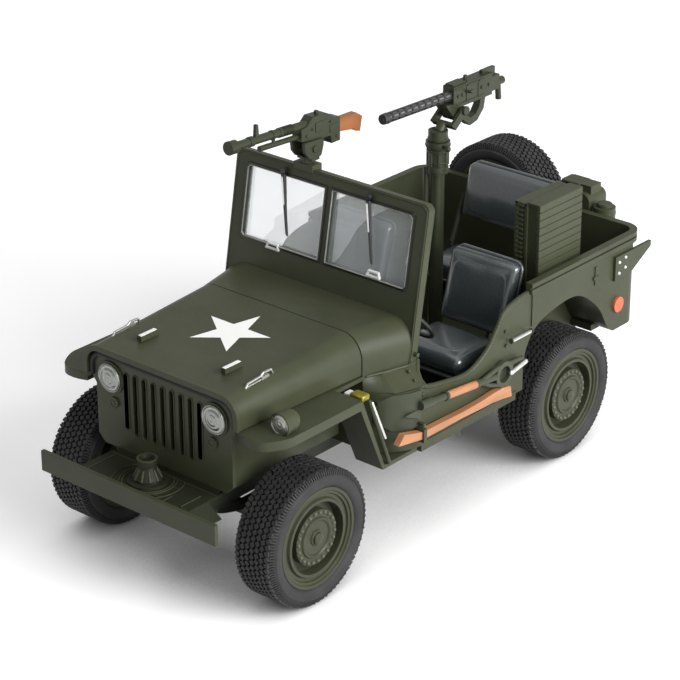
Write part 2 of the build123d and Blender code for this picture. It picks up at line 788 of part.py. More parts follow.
# the light gun's swivel stands in a clamp on the top rail
swivel_s = screen_base_s + (screen_top_z - screen_base_z) * screen_lean + screen_t / 2
swivel_foot = clamp_top - 2.6
with BuildPart() as windshield_frame:
    with BuildSketch(screen):
        with Locations((0, screen_len / 2)):
            Rectangle(2 * screen_half, screen_len)
    extrude(amount=-screen_t)
    fillet(windshield_frame.edges().filter_by(lambda e: abs(e.length - screen_t) < 1e-3)
           .group_by(Axis.Z)[-1], screen_corner_r)
    half_divider = divider_w / 2
    pane_mid = (glass_half + half_divider) / 2
    pane_size = (glass_half - half_divider, (glass_top_z - glass_low_z) * screen_rise)
    pane_v = up_screen((glass_top_z + glass_low_z) / 2)
    with BuildSketch(screen):
        with Locations((-pane_mid, pane_v), (pane_mid, pane_v)):
            Rectangle(*pane_size)
    extrude(amount=-screen_t, mode=Mode.SUBTRACT)
    block((front_gun_x - clamp_half, front_gun_x + clamp_half), (swivel_s - 2, swivel_s + 2),
          (screen_top_z - 0.8, clamp_top))
    rod((front_gun_x, swivel_s, swivel_foot), (front_gun_x, swivel_s, clamp_top + 1),
        swivel_r + running_gap, Mode.SUBTRACT)
save(windshield_frame, "windshield_frame")

with BuildPart() as windshield_glass:
    with BuildSketch(screen.offset(-(screen_t - glass_t) / 2)):
        with Locations((-pane_mid, pane_v), (pane_mid, pane_v)):
            Rectangle(*pane_size)
    extrude(amount=-glass_t)
save(windshield_glass, "windshield_glass")

with BuildPart() as wipers:
    arm_low, arm_high = up_screen(glass_top_z - 13.5), up_screen(glass_top_z + 0.5)
    for x in (wiper_x, -wiper_x):
        with BuildSketch(screen):
            with Locations((x, arm_high + 0.4)):
                Rectangle(2.4, 2.0)
        extrude(amount=0.9)
        with BuildSketch(screen.offset(0.2)):
            with Locations((x, (arm_low + arm_high) / 2)):
                Rectangle(0.8, arm_high - arm_low)
        extrude(amount=0.6)
save(wipers, "wipers")

dash_low, dash_top = up_screen(screen_base_z), up_screen(hood_rear_top - 1.0)
with BuildPart() as dashboard:
    with BuildSketch(screen.offset(-screen_t)):
        with Locations((0, (dash_low + dash_top) / 2)):
            Rectangle(2 * (cowl_rear_half - 1.0), dash_top - dash_low)
    extrude(amount=-1.6)
save(dashboard, "dashboard")

# ---- seats -----------------------------------------------------------------
deck_z = floor_z + floor_t
seat_rear_s = wheelbase - seat_rear_from_axle
seat_front_s = seat_rear_s - seat_long
cushion_low = seat_top_z - cushion_t
with BuildPart() as front_seat_cushions:
    for x in (seat_x, -seat_x):
        block((x - seat_w / 2, x + seat_w / 2), (seat_front_s, seat_rear_s),
              (cushion_low, seat_top_z))
save(front_seat_cushions, "front_seat_cushions")


def seat_back(x, width, s, low, top, lean, thick):
    """A padded back leaning rearwards from its lower front edge."""
    away = s + lean * (top - low)
    prism(side(x - width / 2), [(s, low), (away, top), (away + thick, top), (s + thick, low)],
          width)


with BuildPart() as front_seat_backs:
    for x in (seat_x, -seat_x):
        seat_back(x, seat_back_w, seat_rear_s + panel_gap, seat_top_z - 1.0, seat_back_top,
                  seat_lean, seat_back_t)
save(front_seat_backs, "front_seat_backs")

bench_front_s = wheelbase + rear_seat_front
bench_rear_s = bench_front_s + rear_seat_long
bench_low = rear_seat_top_z - rear_cushion_t
with BuildPart() as rear_seat_cushion:
    block((-rear_seat_w / 2, rear_seat_w / 2), (bench_front_s, bench_rear_s),
          (bench_low, rear_seat_top_z))
save(rear_seat_cushion, "rear_seat_cushion")

rear_back_s = bench_rear_s + panel_gap
with BuildPart() as rear_seat_back:
    seat_back(0, rear_seat_w, rear_back_s, rear_back_low, rear_back_top, rear_back_lean,
              rear_back_t)
save(rear_seat_back, "rear_seat_back")

with BuildPart() as seat_frames:
    for sign in (1, -1):
        x = sign * seat_x
        block((x - seat_w / 2 + 1, x + seat_w / 2 - 1), (seat_front_s + 1.5, seat_rear_s - 1.5),
              (deck_z, cushion_low))
        x = sign * (rear_seat_w / 2 - 2.0)
        block((x - 1.0, x + 1.0), (bench_front_s + 2, bench_rear_s - 2), (deck_z, bench_low))
        x = sign * (rear_seat_w / 2 + seat_tube_r + running_gap)
        knee = (x, bench_rear_s - 2.0, rear_seat_top_z)
        rod((x, bench_rear_s - 2.0, deck_z), knee, seat_tube_r)
        rod(knee, (x, rear_back_s + rear_back_t, rear_back_low + 6.0), seat_tube_r)
save(seat_frames, "seat_frames")

# ---- controls --------------------------------------------------------------
hub = Vector(wheel_x, wheel_s, wheel_z)
column_foot = Vector(wheel_x - 3.0, firewall_s + 3.6, 36.0)
column_dir = (hub - column_foot).normalized()
wheel_plane = Plane(origin=(hub.X, front_y + hub.Y, hub.Z), z_dir=column_dir)
with BuildPart() as steering_wheel:
    with BuildSketch(Plane(origin=wheel_plane.origin, x_dir=wheel_plane.x_dir,
                           z_dir=wheel_plane.y_dir)):
        with Locations((steering_wheel_r, 0)):
            Circle(steering_rim_r)
    revolve(axis=Axis(wheel_plane.origin, wheel_plane.z_dir))
    with BuildSketch(wheel_plane.offset(-0.9)):
        Circle(2 * column_r)
        with PolarLocations(steering_wheel_r / 2, 3, start_angle=90):
            Rectangle(steering_wheel_r, 0.8)
    extrude(amount=1.2)
save(steering_wheel, "steering_wheel")

with BuildPart() as steering_column:
    end = hub - column_dir * (0.9 + running_gap)
    rod((column_foot.X, column_foot.Y, column_foot.Z), (end.X, end.Y, end.Z), column_r)
save(steering_column, "steering_column")

with BuildPart() as shift_levers:
    for x, s, tall in ((0.0, 0.0, 15.0), (-5.0, 4.0, 10.0), (-8.0, 4.0, 9.0)):
        foot_s = gearbox_end_s + s
        rod((x, foot_s, deck_z + 0.4), (x, foot_s + 1.5, deck_z + tall), 0.6)
        rod((x, foot_s, deck_z), (x, foot_s, deck_z + 1.0), 1.6)
save(shift_levers, "shift_levers")

# ---- stowage ---------------------------------------------------------------
box_x = (body_half - box_inset - box_w, body_half - box_inset)
box_s = (wheelbase - box_front, wheelbase - box_front + box_long)
with BuildPart() as ribbed_box:
    block(box_x, box_s, (wheel_box_top, box_top))
    z = wheel_box_top + groove_pitch
    while z < box_top - 1.0:
        block((box_x[1] - groove, box_x[1] + 1), (box_s[0] - 1, box_s[1] + 1), (z, z + 0.6),
              Mode.SUBTRACT)
        z += groove_pitch
save(ribbed_box, "ribbed_box")

can_s = (tail_s + 1.6, tail_s + 1.6 + can_t)
can_span = (can_x - can_w / 2, can_x + can_w / 2)
with BuildPart() as fuel_can:
    block(can_span, can_s, (can_low_z, can_top_z))
    fillet(fuel_can.edges().filter_by(Axis.Y), 2.4)
    handle_s = (can_s[0] + can_s[1]) / 2
    block((can_span[0] + 4.5, can_span[1] - 0.8), (handle_s - 2.6, handle_s + 2.6),
          (can_top_z - 2.4, can_top_z + 2.2))
save(fuel_can, "fuel_can")

flask_s = tail_s + 1.0 + flask_r
with BuildPart() as canister:
    rod((flask_x, flask_s, flask_low_z), (flask_x, flask_s, flask_top_z), flask_r)
    rod((flask_x, flask_s, flask_top_z), (flask_x, flask_s, flask_top_z + 0.8), flask_r - 1.0)
save(canister, "canister")

with BuildPart() as rear_carriers:
    block((can_span[0] + 1, can_span[1] - 1), (tail_s, can_s[0]), (can_low_z + 2, rail_low - 0.5))
    block((can_span[0] - 1, can_span[1] + 1), (tail_s, can_s[1]), (can_low_z - 1.2, can_low_z))
    block((flask_x - 2, flask_x + 2), (tail_s, flask_s - flask_r - running_gap),
          (flask_low_z + 2, rail_low - 0.5))
    rod((spare_x, tail_s, spare_z), (spare_x, spare_s + spindle_reach, spare_z), spindle_r)
    rod((spare_x, tail_s, spare_z), (spare_x, tail_s + 0.9, spare_z), 4.2)
save(rear_carriers, "rear_carriers")

# ---- tools, handles, lamps and brackets ------------------------------------
tool_x = body_half + tool_gap
grip_s = (shovel_end_s + 10.1, shovel_end_s + 22.9)
ring_s = shovel_end_s + 35.6
handle_line = [(32.7, 38.6), (40.9, 36.4), (49.2, 36.2), (58.1, 35.9), (67.1, 36.0), (71.7, 36.4),
               (76.3, 36.6), (80.1, 35.8), (80.7, 32.4), (76.5, 33.1), (71.8, 33.6), (67.2, 33.7),
               (58.1, 34.1), (49.2, 34.1), (40.9, 34.2), (30.2, 36.0)]


def shovel_line(s):
    """Point on the shovel's axis, which falls a little rearwards."""
    return (tool_x, s, shaft_z + shaft_slope * (s - shovel_end_s))


with BuildPart() as shovel_and_axe:
    # blade, curved to the tub's front corner
    tub_slab(0.05 + shovel_t, shovel_low_z, shovel_top_z)
    tub_slab(0.05, shovel_low_z, shovel_top_z, Mode.SUBTRACT)
    with BuildSketch(side(0)):
        with BuildLine():
            Polyline((shovel_s, shovel_low_z + 2), (shovel_s + 2.5, shovel_low_z),
                     (shovel_end_s, shovel_low_z), (shovel_end_s, shovel_top_z),
                     (shovel_s + 2.5, shovel_top_z), (shovel_s, shovel_top_z - 2), close=True)
        make_face()
    extrude(amount=wide, mode=Mode.INTERSECT)
    rod(shovel_line(shovel_end_s - 1.5), shovel_line(shovel_end_s + 3.5), 1.3 * tool_shaft_r)
    rod(shovel_line(shovel_end_s), shovel_line(grip_s[0]), tool_shaft_r)
    rod(shovel_line(grip_s[1]), shovel_line(ring_s - fork_r + 0.4), tool_shaft_r)
    for s in (grip_s[0] - 0.9, grip_s[1]):
        rod(shovel_line(s), shovel_line(s + 0.9), 1.3 * tool_shaft_r)
    clip = shovel_line(shovel_end_s + 5)
    block((body_half, tool_x), (clip[1] - 0.7, clip[1] + 0.7), (clip[2] - 0.6, clip[2] + 0.6))
    # ring of the handle, with two bars behind it
    ring = shovel_line(ring_s)
    rod((tool_x - 0.7, ring[1], ring[2]), (tool_x + 0.7, ring[1], ring[2]), fork_r)
    rod((tool_x - 1, ring[1], ring[2]), (tool_x + 1, ring[1], ring[2]), fork_hole_r, Mode.SUBTRACT)
    rod((tool_x, ring_s + 3.1, ring[2] - 0.2), (tool_x, ring_s + 9.4, ring[2] + 0.3), 0.65)
    rod((tool_x, ring_s + 2.2, ring[2] + 2.4), (tool_x, ring_s + 8.8, ring[2] + 2.0), 0.65)
    # strap over the axe handle
    block((body_half, tool_x + axe_t / 2 + 0.6), (40.3, 41.6), (33.3, 37.3))
    prism(side(tool_x - axe_t / 2), handle_line, axe_t, Mode.SUBTRACT)
save(shovel_and_axe, "shovel_and_axe")

with BuildPart() as tool_handles:
    rod(shovel_line(grip_s[0]), shovel_line(grip_s[1]), grip_r)
    prism(side(tool_x - axe_t / 2), handle_line, axe_t)
save(tool_handles, "tool_handles")

bar_s = (quarter_s - 10.6, quarter_s - 1.4)
bar_z = shoulder_z + 1.2
with BuildPart() as grab_handles:
    for sign in (1, -1):
        x = sign * (body_half + 2.0)
        rod((x, bar_s[0], bar_z), (x, bar_s[1], bar_z), 0.6)
        for s in (bar_s[0] + 0.6, bar_s[1] - 0.6):
            rod((sign * body_half, s, bar_z), (x, s, bar_z), 0.5)
save(grab_handles, "grab_handles")

with BuildPart() as reflectors:
    for sign in (1, -1):
        rod((sign * body_half, tail_s - 10.8, 41.9), (sign * (body_half + 0.9), tail_s - 10.8, 41.9),
            2.4)
save(reflectors, "reflectors")

with BuildPart() as rear_brackets:
    for sign in (1, -1):
        x0 = body_half if sign > 0 else -body_half - 0.9
        prism(side(x0), [(tail_s - 13.5, 50.3), (tail_s - 13.5, 57.9), (tail_s + 4.6, 57.9),
                         (tail_s + 4.6, 56.2), (tail_s - 6.2, 50.3)], 0.9)
save(rear_brackets, "rear_brackets")

# ---- pedestal gun (a plain solid moulding) ---------------------------------
with BuildPart() as gun_post:
    rod((0, post_s, deck_z), (0, post_s, deck_z + 1.4), 6.0)
    rod((0, post_s, deck_z), (0, post_s, collar_top - 7.8), post_r)
    rod((0, post_s, collar_top - 9.8), (0, post_s, collar_top - 7.8), collar_r - 0.4)
    rod((0, post_s, collar_top - 7.8), (0, post_s, collar_top - 1.8), collar_r - 0.6)
    rod((0, post_s, collar_top - 1.8), (0, post_s, collar_top), collar_r)
    rod((0, post_s, collar_top - 5.0), (0, post_s, collar_top + 1), spigot_r + running_gap,
        Mode.SUBTRACT)
    # thin strut beside the tube
    rod((-2.5, post_s - 2.2, deck_z), (-2.5, post_s - 2.2, collar_top - 8.0), 0.9)
save(gun_post, "gun_post")


def shifted(points, s, z=0.0):
    """Points moved along the car and up."""
    return [(s + a, z + b) for a, b in points]


rear_pivot_s = post_s + rear_pivot_back
with BuildPart() as gun_yoke:
    rod((0, post_s, collar_top - 4.6), (0, post_s, collar_top + 0.1), spigot_r)
    rod((0, post_s, collar_top + 0.1), (0, post_s, cup_top), cup_r)
    rod((0, post_s + 0.4, cup_top - 0.8), (0, post_s + 2.3, cup_top + 1.2), 1.6)
    prism(side(-rear_ear_out), shifted([(1.3, 1.6), (3.1, -0.1), (4.1, 0.7), (2.3, 2.4)],
                                       post_s, cup_top), 2 * rear_ear_out)
    for x in (-rear_ear_out, rear_ear_in):
        prism(side(x), shifted([(1.3, 1.6), (3.1, -0.1), (9.0, 4.5), (7.2, 6.2)],
                               post_s, cup_top), rear_ear_out - rear_ear_in)
    rod((-rear_ear_out - 1, rear_pivot_s, rear_pivot_z),
        (rear_ear_out + 1, rear_pivot_s, rear_pivot_z), trunnion_r + running_gap, Mode.SUBTRACT)
save(gun_yoke, "gun_yoke")

receiver_s = post_s + 4.5
gun_z = rear_pivot_z
with BuildPart() as rear_gun:
    block((-rear_gun_half, rear_gun_half), (receiver_s, post_s + 22.7), (gun_z + 0.4, gun_z + 7.1))
    block((-1.6, 1.6), (post_s + 22.7, post_s + 26.7), (gun_z + 1.1, gun_z + 5.6))
    block((-0.6, 0.6), (post_s + 19.7, post_s + 25.7), (gun_z + 5.5, gun_z + 8.1))
    prism(side(-rear_gun_half - 0.2), shifted([(0.7, 2.7), (5.1, -3.0), (8.3, -2.7), (9.1, 1.3)],
                                              post_s, gun_z), 2 * rear_gun_half + 0.4)
    rod((-rear_ear_out, rear_pivot_s, rear_pivot_z), (rear_ear_out, rear_pivot_s, rear_pivot_z),
        trunnion_r)
    rod((0, post_s + 26.7, gun_z + 2.6), (0, post_s + 30.1, gun_z + 2.6), 1.2)
    rod((0, post_s + 28.0, gun_z + 2.1), (0, post_s + 28.5, gun_z - 2.9), 0.9)
    # curved strap under the receiver
    prism(side(-1.2), shifted([
        (20.7, 0.5), (19.9, -3.3), (16.9, -6.3), (13.5, -7.0), (7.7, -2.5), (8.1, -1.1),
        (13.9, -4.7), (16.3, -4.0), (17.9, -1.9), (18.3, 0.5),
    ], post_s, gun_z), 2.4)
save(rear_gun, "rear_gun")

with BuildPart() as rear_gun_barrel:
    rod((0, post_s - 24.7, gun_z + 5.1), (0, receiver_s, gun_z + 4.2), 1.5)
save(rear_gun_barrel, "rear_gun_barrel")

# ---- light gun on the windshield (a plain solid moulding) ------------------
fork_in = front_gun_half + 0.15
fork_out = fork_in + 0.9
fork_base = clamp_top + 0.1
fork_floor = clamp_top + 2.0
with BuildPart() as front_gun_fork:
    rod((front_gun_x, swivel_s, swivel_foot + 0.3), (front_gun_x, swivel_s, fork_base + 1.0),
        swivel_r)
    rod((front_gun_x, swivel_s, fork_base), (front_gun_x, swivel_s, fork_floor), fork_in)
    block((front_gun_x - fork_out, front_gun_x + fork_out), (swivel_s - 1.2, swivel_s + 1.9),
          (fork_base + 0.9, fork_floor))
    for x in (front_gun_x - fork_out, front_gun_x + fork_in):
        prism(side(x), shifted([(-4.3, 2.6), (-3.9, -0.5), (-2.3, -2.4), (0.7, -3.4), (2.8, -2.4),
                                (3.7, 0.4), (3.7, 2.2)], swivel_s, front_pivot_z), fork_out - fork_in)
    rod((front_gun_x - fork_out - 1, swivel_s, front_pivot_z),
        (front_gun_x + fork_out + 1, swivel_s, front_pivot_z), 0.6 + running_gap, Mode.SUBTRACT)
save(front_gun_fork, "front_gun_fork")


def barrel_line(ahead, drop=0.0):
    """Point on the light gun's barrel, ahead of its pivot, which rises forwards."""
    return (front_gun_x, swivel_s - ahead, front_pivot_z + 6.7 + barrel_fall * ahead - drop)


muzzle = 32.0
with BuildPart() as front_gun:
    prism(side(front_gun_x - front_gun_half), shifted([
        (-4.3, 2.9), (-4.3, 6.4), (-1.8, 6.8), (0.7, 8.9), (6.5, 8.5), (9.3, 6.7), (11.9, 6.1),
        (11.9, -0.9), (8.3, -0.9), (7.9, 1.5), (3.7, 1.7),
    ], swivel_s, front_pivot_z), 2 * front_gun_half)
    block((front_gun_x - 1.2, front_gun_x + 1.2), (swivel_s - 1.3, swivel_s + 1.3),
          (front_pivot_z - 1.2, front_pivot_z + 3.0))
    rod((front_gun_x - fork_out, swivel_s, front_pivot_z),
        (front_gun_x + fork_out, swivel_s, front_pivot_z), 0.6)
    rod(barrel_line(7), barrel_line(-0.7), 1.2 + 0.02, Mode.SUBTRACT)
save(front_gun, "front_gun")

with BuildPart() as front_gun_barrel:
    rod(barrel_line(-0.7), barrel_line(muzzle - 2.7), 1.2)
    rod(barrel_line(muzzle - 2.8), barrel_line(muzzle), 1.9)
    rod(barrel_line(4.4, 2.9), barrel_line(19.7, 2.9), 0.8)
    rod(barrel_line(14.0), barrel_line(14.0, 3.0), 0.5)
    sight = barrel_line(20.9)
    prism(side(front_gun_x - 0.5), shifted([(-0.8, 0.0), (0.8, 0.0), (0.4, 4.4), (-0.4, 4.4)],
                                           sight[1], sight[2]), 1.0)
save(front_gun_barrel, "front_gun_barrel")

with BuildPart() as front_gun_stock:
    prism(side(front_gun_x - 1.1), shifted([
        (11.9, 5.0), (20.0, 4.8), (22.2, 3.3), (21.3, -1.0), (19.5, -0.5), (18.2, 0.4), (11.9, 1.4),
    ], swivel_s, front_pivot_z), 2.2)
save(front_gun_stock, "front_gun_stock")
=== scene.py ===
import bmesh
import bpy
import math
from mathutils import Matrix, Vector


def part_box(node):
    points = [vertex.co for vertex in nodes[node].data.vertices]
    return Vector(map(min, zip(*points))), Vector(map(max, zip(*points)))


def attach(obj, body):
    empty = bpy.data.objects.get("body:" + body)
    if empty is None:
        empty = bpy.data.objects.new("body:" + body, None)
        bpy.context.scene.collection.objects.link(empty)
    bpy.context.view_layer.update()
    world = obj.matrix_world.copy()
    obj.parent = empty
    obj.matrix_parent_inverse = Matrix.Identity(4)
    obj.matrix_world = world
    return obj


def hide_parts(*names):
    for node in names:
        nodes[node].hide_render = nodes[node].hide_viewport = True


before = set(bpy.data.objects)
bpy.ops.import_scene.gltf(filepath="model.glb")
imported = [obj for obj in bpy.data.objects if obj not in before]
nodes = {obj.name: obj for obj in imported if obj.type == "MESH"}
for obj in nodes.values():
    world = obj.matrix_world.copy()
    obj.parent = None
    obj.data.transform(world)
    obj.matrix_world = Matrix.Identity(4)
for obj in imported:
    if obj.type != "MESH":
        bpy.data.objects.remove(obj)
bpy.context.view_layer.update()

# ---- measures of the wheels, in millimetres --------------------------------
MM = 0.001
ahead, upward = (0, -1, 0), (0, 0, 1)


def span(node):
    """Lowest and highest corner of a CAD node, in millimetres."""
    low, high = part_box(node)
    return [v / MM for v in low], [v / MM for v in high]


tyre_low, tyre_high = span("tyre_front_left")
tyre_r = (tyre_high[2] - tyre_low[2]) / 2
tyre_w = tyre_high[0] - tyre_low[0]
wheel_x = (tyre_high[0] + tyre_low[0]) / 2
front_y = (tyre_high[1] + tyre_low[1]) / 2
rim_low, rim_high = span("rim_front_left")
rim_r = (rim_high[2] - rim_low[2]) / 2
rim_face = rim_high[0] - wheel_x


# ---- shader expressions ----------------------------------------------------
class Value:
    """A shader socket that takes part in Python expressions."""

    def __init__(self, tree, socket):
        self.tree = tree
        self.socket = socket

    def maths(self, operation, other):
        node = self.tree.nodes.new("ShaderNodeMath")
        node.operation = operation
        feed(self.tree, node.inputs[0], self)
        feed(self.tree, node.inputs[1], other)
        return Value(self.tree, node.outputs[0])

    def __add__(self, other):
        return self.maths("ADD", other)

    def __radd__(self, other):
        return self.maths("ADD", other)

    def __sub__(self, other):
        return self.maths("SUBTRACT", other)

    def __mul__(self, other):
        return self.maths("MULTIPLY", other)

    def __rmul__(self, other):
        return self.maths("MULTIPLY", other)

    def smooth(self, low, high):
        """0 below low, 1 above high, with a soft step between."""
        node = self.tree.nodes.new("ShaderNodeMapRange")
        node.interpolation_type = "SMOOTHSTEP"
        feed(self.tree, node.inputs["Value"], self)
        node.inputs["From Min"].default_value = low
        node.inputs["From Max"].default_value = high
        return Value(self.tree, node.outputs[0])


def feed(tree, slot, value):
    """Link a Value to a socket, or set the socket to a plain number or colour."""
    if isinstance(value, Value):
        tree.links.new(value.socket, slot)
    elif (hasattr(slot.default_value, "__len__") and len(slot.default_value) == 4
          and len(value) == 3):
        slot.default_value = (*value, 1)
    else:
        slot.default_value = value


class Finish:
    """A material under construction, with a Principled shader at its end."""

    def __init__(self, name, **constants):
        self.material = bpy.data.materials.new(name)
        self.material.use_nodes = True
        self.tree = self.material.node_tree
        self.shader = self.tree.nodes["Principled BSDF"]
        for key, value in constants.items():
            self.set(key.replace("_", " "), value)

    def node(self, kind, settings=(), **values):
        """Add a node: its settings first, then the values or links of its sockets."""
        node = self.tree.nodes.new("ShaderNode" + kind)
        for key, value in dict(settings).items():
            setattr(node, key, value)
        for key, value in values.items():
            feed(self.tree, node.inputs[key.replace("_", " ")], value)
        return node

    def out(self, node, name=0):
        return Value(self.tree, node.outputs[name])

    def set(self, name, value):
        feed(self.tree, self.shader.inputs[name], value)

    def place(self):
        return self.out(self.node("TexCoord"), "Object")

    def axis(self, name):
        """One of X, Y, Z of the object coordinate, in metres."""
        return self.out(self.node("SeparateXYZ", Vector=self.place()), name)

    def noise(self, scale, detail=3.0, rough=0.5, squeeze=None):
        vector = self.place()
        if squeeze:
            vector = self.out(self.node("Mapping", Vector=vector, Scale=squeeze))
        return self.out(self.node("TexNoise", Vector=vector, Scale=scale, Detail=detail,
                                  Roughness=rough))

    def tint(self, share, first, second):
        """A colour between two, by a share from 0 to 1."""
        mix = self.node("Mix", {"data_type": "RGBA"})
        feed(self.tree, mix.inputs[0], share)
        feed(self.tree, mix.inputs[6], first)
        feed(self.tree, mix.inputs[7], second)
        return self.out(mix, 2)

    def relief(self, height, depth, strength, edge=None):
        """Bump from a height map; edge softens corners by that radius in metres."""
        bump = self.node("Bump", Height=height, Distance=depth, Strength=strength)
        if edge:
            bevel = self.node("Bevel", {"samples": 4}, Radius=edge)
            self.tree.links.new(bevel.outputs[0], bump.inputs["Normal"])
        self.tree.links.new(bump.outputs[0], self.shader.inputs["Normal"])


def paint(name, dark, light, rough=0.42):
    """Sprayed model paint: fine orange peel, faint mottling, softened edges."""
    finish = Finish(name, Specular_IOR_Level=0.24)
    mottle = finish.noise(55.0, 4.0, 0.6)
    finish.set("Base Color", finish.tint(mottle.smooth(0.3, 0.7), dark, light))
    speck = finish.noise(900.0, 2.0)
    finish.set("Roughness", rough + 0.14 * (speck - 0.5))
    finish.relief(speck, 0.00003, 0.35, 0.00022)
    return finish.material


def gloss(name, colour, rough, metal=0.0, grain=1500.0):
    """Bright plated or moulded parts with a faint surface unevenness."""
    finish = Finish(name, Metallic=metal, Roughness=rough)
    speck = finish.noise(grain, 2.0)
    shade = tuple(c * 0.82 for c in colour)
    finish.set("Base Color", finish.tint(speck.smooth(0.35, 0.65), shade, colour))
    finish.relief(speck, 0.00001, 0.4, 0.00015)
    return finish.material


olive = paint("olive_paint", (0.042, 0.047, 0.025), (0.052, 0.058, 0.032))
rim_olive = paint("rim_paint", (0.039, 0.042, 0.024), (0.049, 0.052, 0.031), 0.34)
rivet_olive = paint("rivet_paint", (0.085, 0.088, 0.062), (0.100, 0.104, 0.075), 0.34)
gun_olive = paint("gun_paint", (0.030, 0.034, 0.019), (0.039, 0.044, 0.026), 0.34)
tool_olive = paint("tool_steel_paint", (0.046, 0.052, 0.032), (0.058, 0.065, 0.042), 0.38)
# the deck's olive is darkened as painted shade, for the shadow that falls on it between grille and
# bumper
deck_painted_shade = paint("deck_paint_painted_shade", (0.015, 0.017, 0.009), (0.021, 0.024, 0.013), 0.55)
deep_olive = paint("hidden_paint", (0.022, 0.025, 0.017), (0.028, 0.032, 0.021), 0.6)
black = gloss("black_plastic", (0.014, 0.014, 0.015), 0.42)
# near-black painted shade, put in gaps and hollows where the shadow falls
painted_gap_shade = gloss("painted_gap_shadow", (0.006, 0.006, 0.005), 0.7)
silver = gloss("silver_metal", (0.78, 0.78, 0.76), 0.28, metal=1.0)
white = gloss("white_enamel", (0.86, 0.86, 0.84), 0.4)
star_white = paint("star_paint", (0.86, 0.86, 0.84), (0.90, 0.90, 0.88), 0.5)
lamp_white = gloss("lamp_reflector", (0.30, 0.31, 0.29), 0.2, metal=0.75)
gun_black = gloss("gun_black", (0.034, 0.035, 0.034), 0.38, grain=1800.0)
gun_steel = gloss("gun_steel", (0.20, 0.20, 0.20), 0.4, metal=0.3, grain=1800.0)
chrome = gloss("lamp_chrome", (0.33, 0.34, 0.31), 0.3, metal=1.0)
worn_silver = gloss("worn_silver", (0.46, 0.47, 0.43), 0.38, metal=0.9)
brass = gloss("brass_clip", (0.30, 0.26, 0.03), 0.35, metal=0.5)


def seat_gloss():
    """Dark moulded plastic under a clear gloss, finely grained."""
    finish = Finish("seat_plastic", Coat_Weight=1.0, Coat_Roughness=0.15, Coat_IOR=1.7)
    speck = finish.noise(2400.0, 2.0)
    finish.set("Base Color", finish.tint(speck.smooth(0.3, 0.7), (0.030, 0.037, 0.040),
                                         (0.046, 0.055, 0.058)))
    finish.set("Roughness", 0.34 + 0.1 * (speck - 0.5))
    finish.relief(speck, 0.00003, 0.5)
    return finish.material


seat_plastic = seat_gloss()
red_orange = gloss("reflector_orange", (0.55, 0.13, 0.05), 0.3)


def rubber():
    finish = Finish("tyre_rubber", Specular_IOR_Level=0.35)
    dust = finish.noise(160.0, 3.0)
    finish.set("Base Color", finish.tint(dust.smooth(0.35, 0.7), (0.021, 0.021, 0.022),
                                         (0.032, 0.032, 0.033)))
    speck = finish.noise(1800.0, 2.0)
    finish.set("Roughness", 0.66 + 0.15 * (speck - 0.5))
    finish.relief(speck, 0.00004, 0.5)
    return finish.material


tyre_rubber = rubber()


def orange_wood(name, colour):
    """Painted handle with a fine grain along it."""
    finish = Finish(name, Coat_Weight=0.1, Coat_Roughness=0.3)
    grain = finish.noise(420.0, 4.0, 0.6, squeeze=(1.0, 0.12, 1.0))
    dark = tuple(c * 0.72 for c in colour)
    finish.set("Base Color", finish.tint(grain.smooth(0.3, 0.75), dark, colour))
    finish.set("Roughness", 0.42 + 0.2 * (grain - 0.5))
    finish.relief(grain, 0.00004, 0.4, 0.0002)
    return finish.material


handle_orange = orange_wood("handle_orange", (0.50, 0.22, 0.10))
stock_orange = orange_wood("stock_orange", (0.34, 0.115, 0.028))


def pane():
    finish = Finish("clear_pane", Base_Color=(0.88, 0.93, 0.97, 1), Roughness=0.02, IOR=1.35)
    finish.set("Transmission Weight", 0.62)
    haze = finish.noise(40.0, 2.0)
    finish.set("Alpha", 0.32 + 0.1 * haze)
    return finish.material


clear_pane = pane()


# ---- modelling helpers -----------------------------------------------------
def finish_mesh(name, bm, material, body, soft=35.0, bevel=0.0, stands_for=()):
    """Turn a bmesh in millimetres into a piece that rides on a body."""
    bmesh.ops.recalc_face_normals(bm, faces=bm.faces)
    bmesh.ops.scale(bm, vec=(MM, MM, MM), verts=bm.verts)
    mesh = bpy.data.meshes.new(name)
    bm.to_mesh(mesh)
    bm.free()
    mesh.shade_smooth()
    mesh.set_sharp_from_angle(angle=math.radians(soft))
    piece = bpy.data.objects.new(name, mesh)
    bpy.context.scene.collection.objects.link(piece)
    mesh.materials.append(material)
    if bevel:
        rounding = piece.modifiers.new("rounding", "BEVEL")
        rounding.width = bevel * MM
        rounding.segments = 2
        rounding.limit_method = "ANGLE"
        rounding.angle_limit = math.radians(40)
    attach(piece, body)
    if stands_for:
        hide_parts(*stands_for)
    return piece


def mm(x, s, z):
    """A point from millimetres across, rearwards from the front axle, and up."""
    return Vector((x, front_y + s, z))


def box(bm, x, s, z):
    """A box from its spans across, along and up."""
    centre = mm((x[0] + x[1]) / 2, (s[0] + s[1]) / 2, (z[0] + z[1]) / 2)
    size = Matrix.Diagonal((x[1] - x[0], s[1] - s[0], z[1] - z[0], 1))
    bmesh.ops.create_cube(bm, size=1, matrix=Matrix.Translation(centre) @ size)


def ball(bm, centre, r, across=12, down=8):
    """A ball, its facets counted round it and from pole to pole."""
    bmesh.ops.create_uvsphere(bm, u_segments=across, v_segments=down, radius=r,
                              matrix=Matrix.Translation(centre))


def rod(bm, start, end, r, r_end=None, sides=24):
    """A round bar between two points."""
    a, b = Vector(start), Vector(end)
    turn = (b - a).to_track_quat("Z", "Y").to_matrix().to_4x4()
    bmesh.ops.create_cone(
        bm, cap_ends=True, segments=sides, radius1=r, radius2=r if r_end is None else r_end,
        depth=(b - a).length, matrix=Matrix.Translation((a + b) / 2) @ turn)


